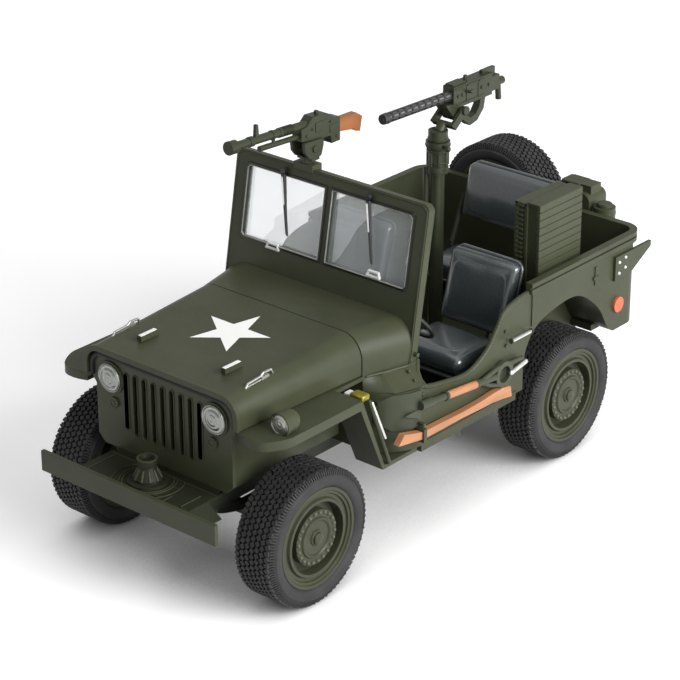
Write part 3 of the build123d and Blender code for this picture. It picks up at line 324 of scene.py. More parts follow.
def lathe(bm, profile, origin, axis, steps=96):
    """Spin a profile of (distance along the axis, radius) pairs about an axis."""
    axis = Vector(axis).normalized()
    side = axis.orthogonal().normalized()
    origin = Vector(origin)
    verts = [bm.verts.new(origin + axis * a + side * r) for a, r in profile]
    edges = [bm.edges.new(pair) for pair in zip(verts, verts[1:] + verts[:1])]
    bmesh.ops.spin(bm, geom=verts + edges, cent=origin, axis=axis, angle=2 * math.pi,
                   steps=steps, use_merge=True)
    bmesh.ops.remove_doubles(bm, verts=bm.verts, dist=1e-5)


def plate(bm, outline, normal, depth):
    """A flat outline of points, given thickness along a normal."""
    face = bm.faces.new([bm.verts.new(p) for p in outline])
    moved = bmesh.ops.extrude_face_region(bm, geom=[face])["geom"]
    shift = [v for v in moved if isinstance(v, bmesh.types.BMVert)]
    bmesh.ops.translate(bm, vec=Vector(normal) * depth, verts=shift)


# ---- tyres and rims --------------------------------------------------------
lugs = 72
groove_deep = 1.0


def make_tyre(name, centre, axis, body, node):
    """Tyre with a fine blocky tread whose outer lugs wrap over the shoulders."""
    bm = bmesh.new()
    base = tyre_r - groove_deep
    half = tyre_w / 2
    profile = [
        (-5.9, rim_r), (5.9, rim_r), (6.3, rim_r + 0.25), (half - 0.25, rim_r + 0.9),
        (half - 0.02, rim_r + 1.9), (half - 0.1, rim_r + 2.9), (half - 0.75, base - 0.6),
        (half - 1.6, base), (-half + 1.6, base), (-half + 0.75, base - 0.6),
        (-half + 0.1, rim_r + 2.9), (-half + 0.02, rim_r + 1.9), (-half + 0.25, rim_r + 0.9),
        (-6.3, rim_r + 0.25),
    ]
    lathe(bm, profile, centre, axis, steps=120)
    axis = Vector(axis).normalized()
    up = axis.orthogonal().normalized()
    along = axis.cross(up)
    centre = Vector(centre)
    basis = Matrix((
        (axis.x, along.x, up.x, 0), (axis.y, along.y, up.y, 0),
        (axis.z, along.z, up.z, 0), (0, 0, 0, 1)))
    # across, width, how far round each lug reaches, lean, stagger
    rows = [
        (-5.1, 1.55, 0.82, 24.0, 0.0), (-3.4, 1.5, 0.86, -40.0, 0.5), (-1.7, 1.5, 0.86, 42.0, 0.1),
        (0.0, 1.45, 0.84, -44.0, 0.6), (1.7, 1.5, 0.86, 42.0, 0.15), (3.4, 1.5, 0.86, -40.0, 0.6),
        (5.1, 1.55, 0.82, -24.0, 0.1),
    ]
    pitch = 2 * math.pi / lugs
    for across, width, reach, lean, stagger in rows:
        for k in range(lugs):
            spin = Matrix.Rotation((k + stagger) * pitch, 4, axis)
            wiggle = lean + 16.0 * math.sin(k * 2.4 + across)
            place = (Matrix.Translation(centre) @ spin @ basis
                     @ Matrix.Translation((across, 0, base - 0.15 + groove_deep / 2))
                     @ Matrix.Rotation(math.radians(wiggle), 4, "Z"))
            bmesh.ops.create_cone(
                bm, cap_ends=True, segments=4, radius1=0.7071, radius2=0.6, depth=1,
                matrix=place @ Matrix.Diagonal((width, reach * pitch * tyre_r,
                                                groove_deep + 0.24, 1))
                @ Matrix.Rotation(math.radians(45), 4, "Z"))
    for side in (-1, 1):
        for k in range(lugs * 2):
            spin = Matrix.Rotation((k + 0.25) * pitch / 2, 4, axis)
            deep = 1.5 if k % 2 == 0 else 1.0
            points = [(half - 1.9, tyre_r - 0.12), (half - 0.95, tyre_r - 0.55),
                      (half - 0.42, base - 0.5), (half - 0.57, base - deep),
                      (half - 1.7, base - 0.9)]
            wide = 0.27 * pitch * tyre_r
            tangent = (spin @ along).normalized()
            ring_at = [centre + axis * (side * a) + (spin @ up) * r - tangent * wide / 2
                       for a, r in points]
            plate(bm, ring_at, tangent, wide)
    finish_mesh(name, bm, tyre_rubber, body, soft=30.0, stands_for=(node,))


def middle(node):
    """Centre of a CAD node, in millimetres."""
    low, high = span(node)
    return Vector([(a + b) / 2 for a, b in zip(low, high)])


wheels = {
    "front_left": (1, "wheel_front_left"), "front_right": (-1, "wheel_front_right"),
    "rear_left": (1, "wheel_rear_left"), "rear_right": (-1, "wheel_rear_right"),
}
for place, (sign, body) in wheels.items():
    make_tyre(f"treaded_tyre_{place}", middle(f"tyre_{place}"), (1, 0, 0), body, f"tyre_{place}")
make_tyre("treaded_tyre_spare", middle("spare_tyre"), (0, 1, 0), "chassis", "spare_tyre")

rivets = 22
rivet_ring = 7.2


def make_hub(name, centre, axis, body):
    """Rivet ring, raised inner ring and knob on the wheel's centre disc."""
    bm = bmesh.new()
    axis = Vector(axis).normalized()
    disc = rim_face - 0.95
    up = axis.orthogonal().normalized()
    centre = Vector(centre)
    dots = bmesh.new()
    for k in range(rivets):
        spoke = Matrix.Rotation(2 * math.pi * k / rivets, 4, axis) @ up
        base = centre + spoke * rivet_ring + axis * (disc - 0.1)
        turn = axis.to_track_quat("Z", "Y").to_matrix().to_4x4()
        bmesh.ops.create_uvsphere(dots, u_segments=10, v_segments=6, radius=0.64,
                                  matrix=Matrix.Translation(base) @ turn)
    finish_mesh(name + "_rivets", dots, rivet_olive, body)
    lathe(bm, [(disc - 0.1, 6.0), (disc + 0.4, 5.7), (disc + 0.45, 5.3), (disc + 0.2, 4.9),
               (disc - 0.1, 4.7)], centre, axis, steps=72)
    lathe(bm, [(disc - 0.1, 2.4), (disc + 0.3, 2.2), (disc + 0.45, 1.8), (disc + 1.0, 1.7),
               (disc + 1.2, 1.3), (disc + 1.25, 0.001), (disc - 0.1, 0.001)], centre, axis,
          steps=36)
    finish_mesh(name, bm, rim_olive, body)


for place, (sign, body) in wheels.items():
    make_hub(f"hub_detail_{place}", middle(f"rim_{place}"), (sign, 0, 0), body)


# ---- finishes on the solids ------------------------------------------------
def dress(material, *names):
    """Give CAD nodes their finish."""
    for name in names:
        slots = nodes[name].data.materials
        for index in range(len(slots)):
            slots[index] = material


# the deck wears the darkened olive: painted shade
dress(deck_painted_shade, "front_deck")
dress(olive, "bumper_front", "tub", "cowl", "grille", "hood", "fender_left",
      "fender_right", "windshield_frame", "dashboard", "ribbed_box", "fuel_can", "canister",
      "rear_carriers", "rear_brackets", "hood_fittings", "marker_lamps")
# the engine and radiator behind the slots are near black, as painted shade inside the grille
dress(painted_gap_shade, "engine_and_radiator")
dress(deep_olive, "frame_rails", "front_axle", "rear_axle", "leaf_springs", "drive_shafts",
      "knuckle_left", "knuckle_right", "tie_rod", "seat_frames")
dress(rim_olive, "rim_front_left", "rim_front_right", "rim_rear_left", "rim_rear_right",
      "spare_rim")
dress(gun_olive, "gun_post", "gun_yoke", "rear_gun", "front_gun_fork")
dress(tool_olive, "shovel_and_axe")
dress(gun_olive, "front_gun_barrel", "front_gun")
dress(gun_black, "rear_gun_barrel")
dress(black, "steering_wheel", "steering_column", "shift_levers", "wipers")
dress(seat_plastic, "front_seat_cushions", "front_seat_backs", "rear_seat_cushion",
      "rear_seat_back")
dress(silver, "grab_handles")
dress(chrome, "headlights")
dress(handle_orange, "tool_handles")
dress(stock_orange, "front_gun_stock")
dress(red_orange, "reflectors")
dress(clear_pane, "windshield_glass")


# ---- measures of the body, in millimetres ----------------------------------
def station(node):
    """A node's first and last station."""
    low, high = span(node)
    return low[1] - front_y, high[1] - front_y


grille_s = station("grille")[0]
hood_front_s, hood_rear_s = station("hood")
tub_lip = 1.0
body_half = span("tub")[1][0] - tub_lip
deck_top = 31.6
fender_top = span("fender_left")[1][2]
hood_front_z, hood_rear_z = 62.2, 64.6
screen_base_s, screen_base_z = 45.2, 52.0
screen_lean = 0.176
screen_half = span("windshield_frame")[1][0]


def hood_top(s):
    """Height of the hood's flat top at a station."""
    share = (s - hood_front_s) / (hood_rear_s - hood_front_s)
    return hood_front_z + share * (hood_rear_z - hood_front_z)


def on_screen(x, z, out=0.0):
    """A point on the windshield's front face, or out in front of it."""
    s = screen_base_s + (z - screen_base_z) * screen_lean - out
    return mm(x, s, z - out * screen_lean)


def ring(bm, inner, outer, depth, origin, axis, sides=48):
    """A flat ring round an axis, standing out from its origin."""
    lathe(bm, [(0, inner), (0, outer), (depth, outer), (depth, inner)], origin, axis, sides)


def bar(bm, points, r, sides=12):
    """A bent bar through points, round at its joints."""
    for a, b in zip(points, points[1:]):
        rod(bm, a, b, r, sides=sides)
    for p in points:
        bmesh.ops.create_icosphere(bm, subdivisions=2, radius=r, matrix=Matrix.Translation(p))


def trim(bm, point, outwards):
    """Cut away what lies beyond a plane."""
    bmesh.ops.bisect_plane(bm, geom=bm.verts[:] + bm.edges[:] + bm.faces[:], plane_co=point,
                           plane_no=outwards, clear_outer=True)


def frame_bars(bm, corners, wide, deep, normal):
    """A thin flat frame along the sides of a polygon."""
    normal = Vector(normal).normalized()
    count = len(corners)
    for k in range(count):
        a, b = Vector(corners[k]), Vector(corners[(k + 1) % count])
        along = (b - a).normalized()
        across = normal.cross(along)
        basis = Matrix((
            (along.x, across.x, normal.x, 0), (along.y, across.y, normal.y, 0),
            (along.z, across.z, normal.z, 0), (0, 0, 0, 1)))
        size = Matrix.Diagonal(((b - a).length + wide, wide, deep, 1))
        bmesh.ops.create_cube(bm, size=1,
                              matrix=Matrix.Translation((a + b) / 2 + normal * deep / 2)
                              @ basis @ size)


# ---- grille, lamps and deck ------------------------------------------------
slots, slot_pitch, slot_w, slot_low, slot_high = 9, 3.41, 1.6, 38.9, 57.0
headlight_x, headlight_z = 19.3, 53.9
marker_x, marker_z = 18.3, 46.7
face_y = front_y + grille_s


def stadium(bm, x, low, high, wide, depth, wall):
    """A raised lip round a slot of the grille."""
    loops = []
    for r, out in ((wide / 2, 0.05), (wide / 2, -depth), (wide / 2 + wall, -depth),
                   (wide / 2 + wall, 0.05)):
        turn = Matrix.Translation((x, face_y + out, (low + high) / 2)) @ Matrix.Rotation(
            math.radians(90), 4, "X")
        verts = bmesh.ops.create_circle(bm, segments=24, radius=r, matrix=turn)["verts"]
        half = (high - low - wide) / 2
        bmesh.ops.translate(bm, vec=(0, 0, half),
                            verts=[v for v in verts if v.co.z > (low + high) / 2 + 1e-4])
        bmesh.ops.translate(bm, vec=(0, 0, -half),
                            verts=[v for v in verts if v.co.z < (low + high) / 2 - 1e-4])
        loops.append(list({e for v in verts for e in v.link_edges}))
    for a, b in zip(loops, loops[1:]):
        bmesh.ops.bridge_loops(bm, edges=a + b)


bm = bmesh.new()
for k in range(slots):
    short = 1.3 if k in (0, slots - 1) else 0.0
    stadium(bm, (k - slots // 2) * slot_pitch, slot_low + short, slot_high - 0.2 * short, slot_w,
            0.22, 0.28)
for sign in (1, -1):
    ring(bm, 4.1, 4.75, 0.5, (sign * headlight_x, face_y, headlight_z), ahead)
    marker = (sign * marker_x, face_y, marker_z)
    ring(bm, 1.15, 1.6, 0.62, marker, ahead, 32)
    lathe(bm, [(0.3, 0.001), (0.75, 0.001), (0.66, 0.5), (0.3, 0.75)], marker, ahead, 24)
finish_mesh("grille_lips", bm, olive, "chassis", soft=40.0)


def lamp_glass(name, centre, r, bulge, ripples=3, finish=lamp_white):
    """A domed lens with pressed rings, in a bright collar."""
    bm = bmesh.new()
    profile = []
    steps = 26
    for k in range(steps):
        share = k / steps
        ripple = 0.05 * math.cos(2 * math.pi * ripples * share)
        profile.append((bulge * (1 - share**2) + ripple, max(0.001, r * share)))
    profile += [(0.0, r), (-0.3, r), (-0.3, 0.001)]
    lathe(bm, profile, centre, ahead, 48)
    finish_mesh(name, bm, finish, "chassis", soft=50.0)
    bm = bmesh.new()
    lathe(bm, [(-0.3, r), (-0.3, r + 0.42), (0.25, r + 0.38), (0.42, r + 0.2), (0.25, r - 0.02)],
          centre, ahead, 64)
    finish_mesh(name + "_collar", bm, chrome, "chassis", soft=50.0)


for sign, hand in ((1, "left"), (-1, "right")):
    lamp_glass(f"headlight_lens_{hand}", (sign * headlight_x, face_y - 0.75, headlight_z), 3.55,
               0.8)

fender_lamp = mm(36.6, -9.3, fender_top + 2.6)
lamp_glass("fender_lamp_lens", fender_lamp, 2.6, 0.5, 2, worn_silver)
bm = bmesh.new()
lathe(bm, [(-0.9, 2.95), (-0.9, 3.35), (0.25, 3.4), (0.5, 3.2), (0.25, 2.9)], fender_lamp, ahead,
      56)
trim(bm, (0, 0, fender_top), (0, 0, -1))
finish_mesh("fender_lamp_hood", bm, olive, "chassis", soft=40.0)

# capstan ribs and rings, deck outlines and seams
capstan_top = span("front_deck")[1][2]
capstan_s, capstan_ribs = -21.8, 10
bm = bmesh.new()
for k in range(capstan_ribs):
    turn = Matrix.Rotation(2 * math.pi * k / capstan_ribs, 4, "Z")
    low = mm(0, capstan_s, deck_top + 1.2) + turn @ Vector((3.75, 0, 0))
    high = mm(0, capstan_s, deck_top + 4.0) + turn @ Vector((2.4, 0, 0))
    rod(bm, low, high, 0.42, 0.3, sides=8)
for inner, outer, tall in ((2.2, 2.85, capstan_top - deck_top - 0.25), (6.9, 7.25, -0.02),
                           (7.75, 8.0, -0.02), (10.0, 10.2, -0.08)):
    ring(bm, inner, outer, 0.3, mm(0, capstan_s, deck_top + tall), upward, 64)
for s, facing in ((-16.0, 1), (-29.0, -1)):
    trim(bm, mm(0, s, 0), (0, facing, 0))
for x, s in (((6.0, 8.6), (-26.6, -26.3)), ((10.8, 11.1), (-28.6, -24.0)),
             ((7.0, 9.6), (-20.2, -19.9)), ((9.4, 9.7), (-20.2, -18.4)),
             ((16.6, 16.9), (-27.0, -19.0)), ((16.6, 19.0), (-27.0, -26.7)),
             ((-19.5, 19.5), (-16.4, -16.1)), ((-17.6, -17.3), (-28.4, -17.0))):
    box(bm, x, s, (deck_top - 0.05, deck_top + 0.18))
finish_mesh("deck_seams", bm, olive, "chassis")
# a near-black disc low in the capstan's top is painted shade in its hollow
bm = bmesh.new()
lathe(bm, [(0, 0.001), (0, 1.85), (0.25, 1.85), (0.25, 0.001)],
      mm(0, capstan_s, capstan_top - 1.3), upward, 32)
finish_mesh("capstan_hollow", bm, painted_gap_shade, "chassis")

# painted shadow: a near-black bar on the grille's face stands in for the shade in the gap under
# the hood's lip
hood_skin = 1.2
gap_shadow_half, gap_shadow_top, gap_shadow_r = 26.3, hood_top(hood_front_s) - hood_skin - 1.0, 4.2
gap_shadow_foot_z = 53.4
line = [(-gap_shadow_half, gap_shadow_foot_z), (-gap_shadow_half, gap_shadow_top - gap_shadow_r)]
line += [(-gap_shadow_half + gap_shadow_r * (1 - math.cos(math.radians(a))),
          gap_shadow_top - gap_shadow_r * (1 - math.sin(math.radians(a)))) for a in range(15, 90, 15)]
line.append((-gap_shadow_half + gap_shadow_r, gap_shadow_top))
line += [(-x, z) for x, z in reversed(line)]
bm = bmesh.new()
bar(bm, [(x, face_y - 0.25, z) for x, z in line], 0.75, 8)
finish_mesh("painted_gap_shadow", bm, painted_gap_shade, "chassis")

# ---- hood star, blocks and side catches ------------------------------------
star_s, star_r, star_waist = 11.8, 11.6, 0.382
bm = bmesh.new()
outline = []
for k in range(10):
    angle = math.pi * k / 5
    r = star_r if k % 2 == 0 else star_r * star_waist
    x, s = r * math.sin(angle), star_s + r * math.cos(angle)
    outline.append(mm(x, s, hood_top(s) + 0.015))
plate(bm, outline, upward, 0.03)
finish_mesh("hood_star", bm, star_white, "hood_body")

block_top = span("hood_fittings")[1][2]
block_x = 15.5
# white tops on the hood blocks are painted highlights where their top faces catch the light
bm = bmesh.new()
for x in (block_x, -block_x):
    box(bm, (x - 0.62, x + 0.62), (hood_front_s + 9.1, hood_front_s + 15.2),
        (block_top - 0.1, block_top + 0.12))
finish_mesh("hood_block_tops", bm, white, "hood_body", bevel=0.08)

catch_x = 24.6
for sign, hand in ((1, "left"), (-1, "right")):
    bm = bmesh.new()
    x = sign * catch_x
    loop = [mm(x, -9.8, 61.4), mm(x, -8.4, 63.1), mm(x, -3.4, 63.5), mm(x, -2.4, 64.2),
            mm(x, 0.6, 64.1), mm(x, 1.4, 62.4)]
    bar(bm, loop, 0.36)
    bar(bm, [mm(x, -8.6, 62.2), mm(x, -0.4, 62.7)], 0.3)
    box(bm, sorted((x - sign * 0.4, x + sign * 0.5)), (-3.4, -0.6), (61.4, 63.4))
    finish_mesh(f"hood_catch_{hand}", bm, worn_silver, "hood_body")

# ---- fender clip and stay --------------------------------------------------
bm = bmesh.new()
box(bm, (35.0, 39.6), (19.9, 23.2), (51.6, 53.4))
finish_mesh("fender_clip", bm, brass, "chassis", bevel=0.5)
bm = bmesh.new()
box(bm, (32.6, 34.6), (20.4, 23.0), (51.6, 52.6))
finish_mesh("clip_tongue", bm, white, "chassis", bevel=0.3)
bm = bmesh.new()
bar(bm, [mm(41.4, 21.9, 51.6), mm(41.5, 27.2, 39.2)], 0.42)
finish_mesh("fender_stay", bm, silver, "chassis")
bm = bmesh.new()
for sign in (1, -1):
    bar(bm, [mm(sign * 40.9, 21.4, 52.0), mm(sign * 40.9, 29.6, 30.6)], 0.62)
finish_mesh("fender_leg_edges", bm, olive, "chassis")

# ---- windshield trims, catches and wipers ----------------------------------
pane_low, pane_high, pane_in, pane_out = 72.0, 93.5, 0.9, 30.7
screen_normal = (0, -1, -screen_lean)
for material, inset, wide, deep, name in (
        (black, 0.15, 0.7, 0.35, "pane_gaskets"), (worn_silver, 0.5, 0.15, 0.45, "pane_trims")):
    bm = bmesh.new()
    for sign in (1, -1):
        a, b = sign * (pane_in + inset), sign * (pane_out - inset)
        low, high = pane_low + inset, pane_high - inset
        corner = 0.8
        outer = [on_screen(x, z) for x, z in (
            (a, low), (b - sign * corner, low), (b, low + corner), (b, high - corner),
            (b - sign * corner, high), (a, high))]
        frame_bars(bm, outer, wide, deep, screen_normal)
    finish_mesh(name, bm, material, "chassis")

bm = bmesh.new()
for x, z in ((-18.0, 71.6), (19.1, 73.2)):
    frame_bars(bm, [on_screen(x - 2.2, z), on_screen(x + 2.2, z), on_screen(x + 1.7, z + 1.3),
                    on_screen(x - 1.7, z + 1.3)], 0.5, 0.8, screen_normal)
finish_mesh("screen_catches", bm, white, "chassis")

bm = bmesh.new()
# silver strips in front of the wiper arms are painted highlights along them
shine = bmesh.new()
for x in (-16.4, 14.8):
    top, foot = on_screen(x, 93.6, 0.9), on_screen(x + 3.2, 77.0, 0.7)
    rod(bm, top, foot, 0.8, 0.3, sides=10)
    rod(bm, on_screen(x, 94.6, 0.3), on_screen(x, 94.6, 1.5), 0.9, sides=20)
    rod(bm, on_screen(x + 0.3, 90.4, 0.35), on_screen(x + 3.3, 76.4, 0.35), 0.3, sides=8)
    rod(shine, on_screen(x + 0.05, 93.2, 1.6), on_screen(x + 1.6, 85.5, 1.35), 0.34, 0.2, sides=8)
finish_mesh("wiper_arms", bm, black, "chassis", stands_for=("wipers",))
finish_mesh("wiper_painted_highlights", shine, silver, "chassis")

# raised border round the windshield's outer frame and its hinges at the foot
bm = bmesh.new()
edge = [on_screen(-screen_half + 0.5, 52.5), on_screen(-screen_half + 0.5, 95.0),
        on_screen(-screen_half + 2.3, 96.3), on_screen(screen_half - 2.3, 96.3),
        on_screen(screen_half - 0.5, 95.0), on_screen(screen_half - 0.5, 52.5)]
for a, b in zip(edge, edge[1:]):
    rod(bm, a, b, 0.28, sides=8)
for sign in (1, -1):
    rod(bm, mm(sign * (screen_half - 0.5), 47.2, 55.0), mm(sign * (screen_half + 1.2), 47.2, 55.0),
        0.65, sides=16)
finish_mesh("screen_border", bm, olive, "chassis")

# ---- body side: seams, rolled door edge, bolts -----------------------------
door_points = [(43.6, 48.2), (46.6, 47.2), (53.3, 45.9), (63.6, 44.8), (71.7, 48.1),
               (76.0, 52.7), (79.7, 57.5), (85.0, 59.4), (90.6, 60.2)]
for sign, hand in ((1, "left"), (-1, "right")):
    bm = bmesh.new()
    x = sign * (body_half - 0.55)
    guide = [mm(x, s, z) for s, z in door_points]
    fine = []
    for k in range(len(guide) - 1):
        p0, p1 = guide[max(0, k - 1)], guide[k]
        p2, p3 = guide[k + 1], guide[min(len(guide) - 1, k + 2)]
        for j in range(6):
            t = j / 6
            fine.append(0.5 * ((2 * p1) + (p2 - p0) * t + (2 * p0 - 5 * p1 + 4 * p2 - p3) * t * t
                               + (3 * p1 - p0 - 3 * p2 + p3) * t**3))
    fine.append(guide[-1])
    bar(bm, fine, 0.78, sides=10)
    outer = sign * body_half
    for s, low, high in ((92.6, 49.5, 60.0), (123.4, 52.0, 57.8)):
        box(bm, sorted((outer - sign * 0.3, outer + sign * 0.35)), (s - 0.4, s + 0.4), (low, high))
    box(bm, sorted((outer - sign * 0.3, outer + sign * 0.5)), (122.2, 124.6), (53.8, 54.8))
    # raised panel edge along the sill
    box(bm, sorted((outer - sign * 0.3, outer + sign * 0.22)), (44.0, 86.0), (31.0, 31.5))
    finish_mesh(f"body_edges_{hand}", bm, olive, "chassis")

# shoulders between the cowl's sides and the tub, with the bead and bolts of the door's front
for sign, hand in ((1, "left"), (-1, "right")):
    bm = bmesh.new()
    rear_edge = [mm(sign * 41.0, 44.4, 48.2), mm(sign * 39.0, 44.9, 49.3),
                 mm(sign * 37.0, 46.1, 50.7), mm(sign * 35.1, 48.4, 52.6)]
    for outline in ([mm(sign * 30.9, 31.6, 48.4), mm(sign * 38.3, 34.7, 48.3),
                     mm(sign * 32.0, 36.5, 52.6), mm(sign * 30.2, 31.6, 52.6)],
                    [mm(sign * 38.3, 34.7, 48.3), mm(sign * 41.1, 43.3, 48.3), *rear_edge,
                     mm(sign * 32.0, 36.5, 52.6)]):
        plate(bm, outline, (sign * 0.55, 0, 0.83), 0.5)
    bar(bm, rear_edge, 0.75, sides=10)
    bar(bm, [mm(sign * 31.0, 31.6, 52.6), mm(sign * 32.8, 36.5, 52.6), mm(sign * 35.2, 44.0, 52.6),
             mm(sign * 35.2, 48.4, 52.6)], 0.4, sides=8)
    for x, s, z in ((36.6, 43.0, 51.8), (39.2, 42.4, 50.0), (41.6, 42.8, 46.4)):
        ball(bm, mm(sign * x, s, z), 0.55)
    finish_mesh(f"cowl_shoulder_{hand}", bm, olive, "chassis")

bm = bmesh.new()
for sign in (1, -1):
    outer = sign * (body_half + 0.9)
    for s, z in ((134.3, 52.4), (134.3, 55.9), (137.4, 53.4), (137.4, 56.6)):
        ball(bm, mm(outer, s, z), 0.5)
finish_mesh("bracket_bolts", bm, white, "chassis")

bm = bmesh.new()
for sign in (1, -1):
    x = sign * (body_half + 2.0)
    grip_s, grip_z = station("grab_handles"), middle("grab_handles").z
    for s in grip_s:
        rod(bm, mm(x, s - 0.2, grip_z), mm(x, s + 0.2, grip_z), 0.8, sides=16)
    for s, z in ((grip_s[0] - 0.4, grip_z + 2.6), (grip_s[0], grip_z - 2.0)):
        rod(bm, mm(sign * body_half, s, z), mm(sign * (body_half + 0.5), s, z), 0.5, sides=12)
finish_mesh("handle_ends", bm, olive, "chassis")


# ---- seats -----------------------------------------------------------------
def moulded(name, x, s, z, lean, crown, nodes_under, round_by=2.4):
    """A seat moulding: crowned face and soft corners, leaning with the seat, on a thin shell."""
    swell = 0.9
    bm = bmesh.new()
    face_axis = 2 if crown == "top" else 1
    out = 1 if crown == "top" else -1
    wide, long, tall = x[1] - x[0], s[1] - s[0], z[1] - z[0]
    bmesh.ops.create_cube(bm, size=1, matrix=Matrix.Diagonal((wide, long, tall, 1)))
    bmesh.ops.bevel(bm, geom=bm.edges[:], offset=round_by, offset_type="OFFSET", segments=4,
                    profile=0.5, affect="EDGES", material=-1, clamp_overlap=True)
    front = max(bm.faces, key=lambda f: out * f.calc_center_median()[face_axis])
    bmesh.ops.subdivide_edges(bm, edges=list(front.edges), cuts=7, use_grid_fill=True)
    for v in bm.verts:
        far_x = 2 * v.co.x / wide
        far_s = 2 * (v.co.y / long if crown == "top" else v.co.z / tall)
        if out * v.co[face_axis] > 0:
            v.co[face_axis] += out * swell * max(0.0, 1 - far_x**2) * max(0.0, 1 - far_s**2)
    rim = out * -0.5 * (tall if crown == "top" else long)
    edge = bmesh.new()
    size = [wide + 0.5, long + 0.5, tall + 0.5]
    size[face_axis] = 0.9
    shift = [0.0, 0.0, 0.0]
    shift[face_axis] = rim + out * 0.2
    bmesh.ops.create_cube(edge, size=1, matrix=Matrix.Translation(shift)
                          @ Matrix.Diagonal((*size, 1)))
    corners = [e for e in edge.edges
               if abs(e.verts[0].co[face_axis] - e.verts[1].co[face_axis]) > 0.1]
    bmesh.ops.bevel(edge, geom=corners, offset=round_by + 0.4, offset_type="OFFSET", segments=6,
                    profile=0.5, affect="EDGES", material=-1, clamp_overlap=True)
    shear = Matrix.Identity(4)
    shear[1][2] = lean
    centre = mm((x[0] + x[1]) / 2, (s[0] + s[1]) / 2, (z[0] + z[1]) / 2)
    place = Matrix.Translation(centre) @ shear
    bmesh.ops.transform(bm, matrix=place, verts=bm.verts)
    bmesh.ops.transform(edge, matrix=place, verts=edge.verts)
    finish_mesh(name + "_shell", edge, seat_plastic, "chassis", soft=40.0,
                bevel=0.25)
    piece = finish_mesh(name, bm, seat_plastic, "chassis", soft=70.0,
                        stands_for=nodes_under)
    smooth = piece.modifiers.new("smooth", "SUBSURF")
    smooth.levels = smooth.render_levels = 2


seat_low, seat_high = span("front_seat_cushions")
back_low, back_high = span("front_seat_backs")
seat_s = station("front_seat_cushions")
back_s = station("front_seat_backs")
back_mid = (back_s[0] + back_s[1]) / 2
for sign, hand in ((1, "left"), (-1, "right")):
    x = sorted((sign * 11.5, sign * seat_high[0]))
    moulded(f"front_seat_{hand}", x, (seat_s[0] - 0.2, seat_s[1] + 0.3),
            (seat_low[2] + 0.1, seat_high[2] + 0.1), 0.0, "top",
            ("front_seat_cushions",) if sign > 0 else (), round_by=3.4)
    moulded(f"front_back_{hand}", sorted((sign * 11.6, sign * back_high[0])),
            (back_mid - 2.0, back_mid + 2.0), (back_low[2] + 0.4, back_high[2] + 0.2), 0.28,
            "front", ("front_seat_backs",) if sign > 0 else ())
bench_low, bench_high = span("rear_seat_cushion")
bench_s = station("rear_seat_cushion")
moulded("rear_bench", (bench_low[0], bench_high[0]), bench_s, (bench_low[2], bench_high[2]), 0.0,
        "top", ("rear_seat_cushion",))
rest_low, rest_high = span("rear_seat_back")
rest_s = station("rear_seat_back")
rest_mid = (rest_s[0] + rest_s[1]) / 2
moulded("rear_backrest", (rest_low[0], rest_high[0]), (rest_mid - 2.0, rest_mid + 2.0),
        (rest_low[2], rest_high[2]), 0.25, "front", ("rear_seat_back",))

# ---- planked box, fuel can and canister ------------------------------------
box_low, box_high = span("ribbed_box")
box_s = station("ribbed_box")
bm = bmesh.new()
planks = 13
tall = (box_high[2] - box_low[2]) / planks
for k in range(planks):
    z = box_low[2] + k * tall
    box(bm, (box_high[0] - 1.1, box_high[0]), box_s, (z + 0.07, z + tall - 0.07))
box(bm, (box_high[0] - 4.6, box_high[0] - 0.35), (box_s[0] + 2.4, box_s[1] - 0.1),
    (box_low[2], box_high[2] - 0.1))
box(bm, (box_high[0] - 4.7, box_high[0] - 0.2), (box_s[0] + 0.1, box_s[1]),
    (box_high[2] - 0.7, box_high[2]))
finish_mesh("planked_panel", bm, olive, "chassis", bevel=0.12,
            stands_for=("ribbed_box",))
bm = bmesh.new()
box(bm, (box_low[0] + 0.5, box_high[0] - 4.4), (box_s[0] + 0.5, box_s[1] - 0.5),
    (box_low[2], box_high[2] - 1.0))
box(bm, (box_low[0], box_low[0] + 1.2), box_s, (box_low[2], box_high[2] - 0.4))
box(bm, (box_high[0] - 5.4, box_high[0] - 4.4), box_s, (box_low[2], box_high[2] - 0.4))
teeth, tooth_pitch = 20, 1.45
for k in range(teeth):
    z = box_low[2] + 1.0 + k * tooth_pitch
    box(bm, (box_low[0] + 0.2, box_low[0] + 3.0), (box_s[0] - 0.1, box_s[0] + 0.9),
        (z, z + 0.75))
box(bm, (box_low[0] + 3.0, box_high[0] - 0.6), (box_s[0] + 0.8, box_s[0] + 2.6),
    (box_low[2], box_high[2] - 0.6))
box(bm, (box_low[0], box_high[0] - 4.5), (box_s[0], box_s[1]),
    (box_high[2] - 1.3, box_high[2] - 0.5))
finish_mesh("planked_back", bm, olive, "chassis", bevel=0.15)

can_low, can_high = span("fuel_can")
can_s = station("fuel_can")
bm = bmesh.new()
mid_s = (can_s[0] + can_s[1]) / 2
for shift in (-2.6, 0.0, 2.6):
    bar(bm, [mm(can_low[0] + 4.6, mid_s + shift, can_high[2] - 2.4),
             mm(can_low[0] + 5.4, mid_s + shift, can_high[2] - 0.4),
             mm(can_high[0] - 5.2, mid_s + shift, can_high[2] - 0.4),
             mm(can_high[0] - 4.4, mid_s + shift, can_high[2] - 2.4)], 0.5, 10)
cross_x, cross_z = (can_low[0] + can_high[0]) / 2, 56.0
for s in (can_s[0] - 0.02, can_s[1] + 0.02):
    for reach in (5.6, -5.6):
        rod(bm, mm(cross_x - reach, s, cross_z - 7.6), mm(cross_x + reach, s, cross_z + 7.6), 0.35,
            sides=8)
finish_mesh("can_handles", bm, olive, "chassis")
flask_low, flask_high = span("canister")
flask_mid = middle("canister")
bm = bmesh.new()
for z in (flask_low[2] + 1.0, flask_high[2] - 3.0):
    ring(bm, 3.0, 3.5, 0.8, (flask_mid.x, flask_mid.y, z), upward, 40)
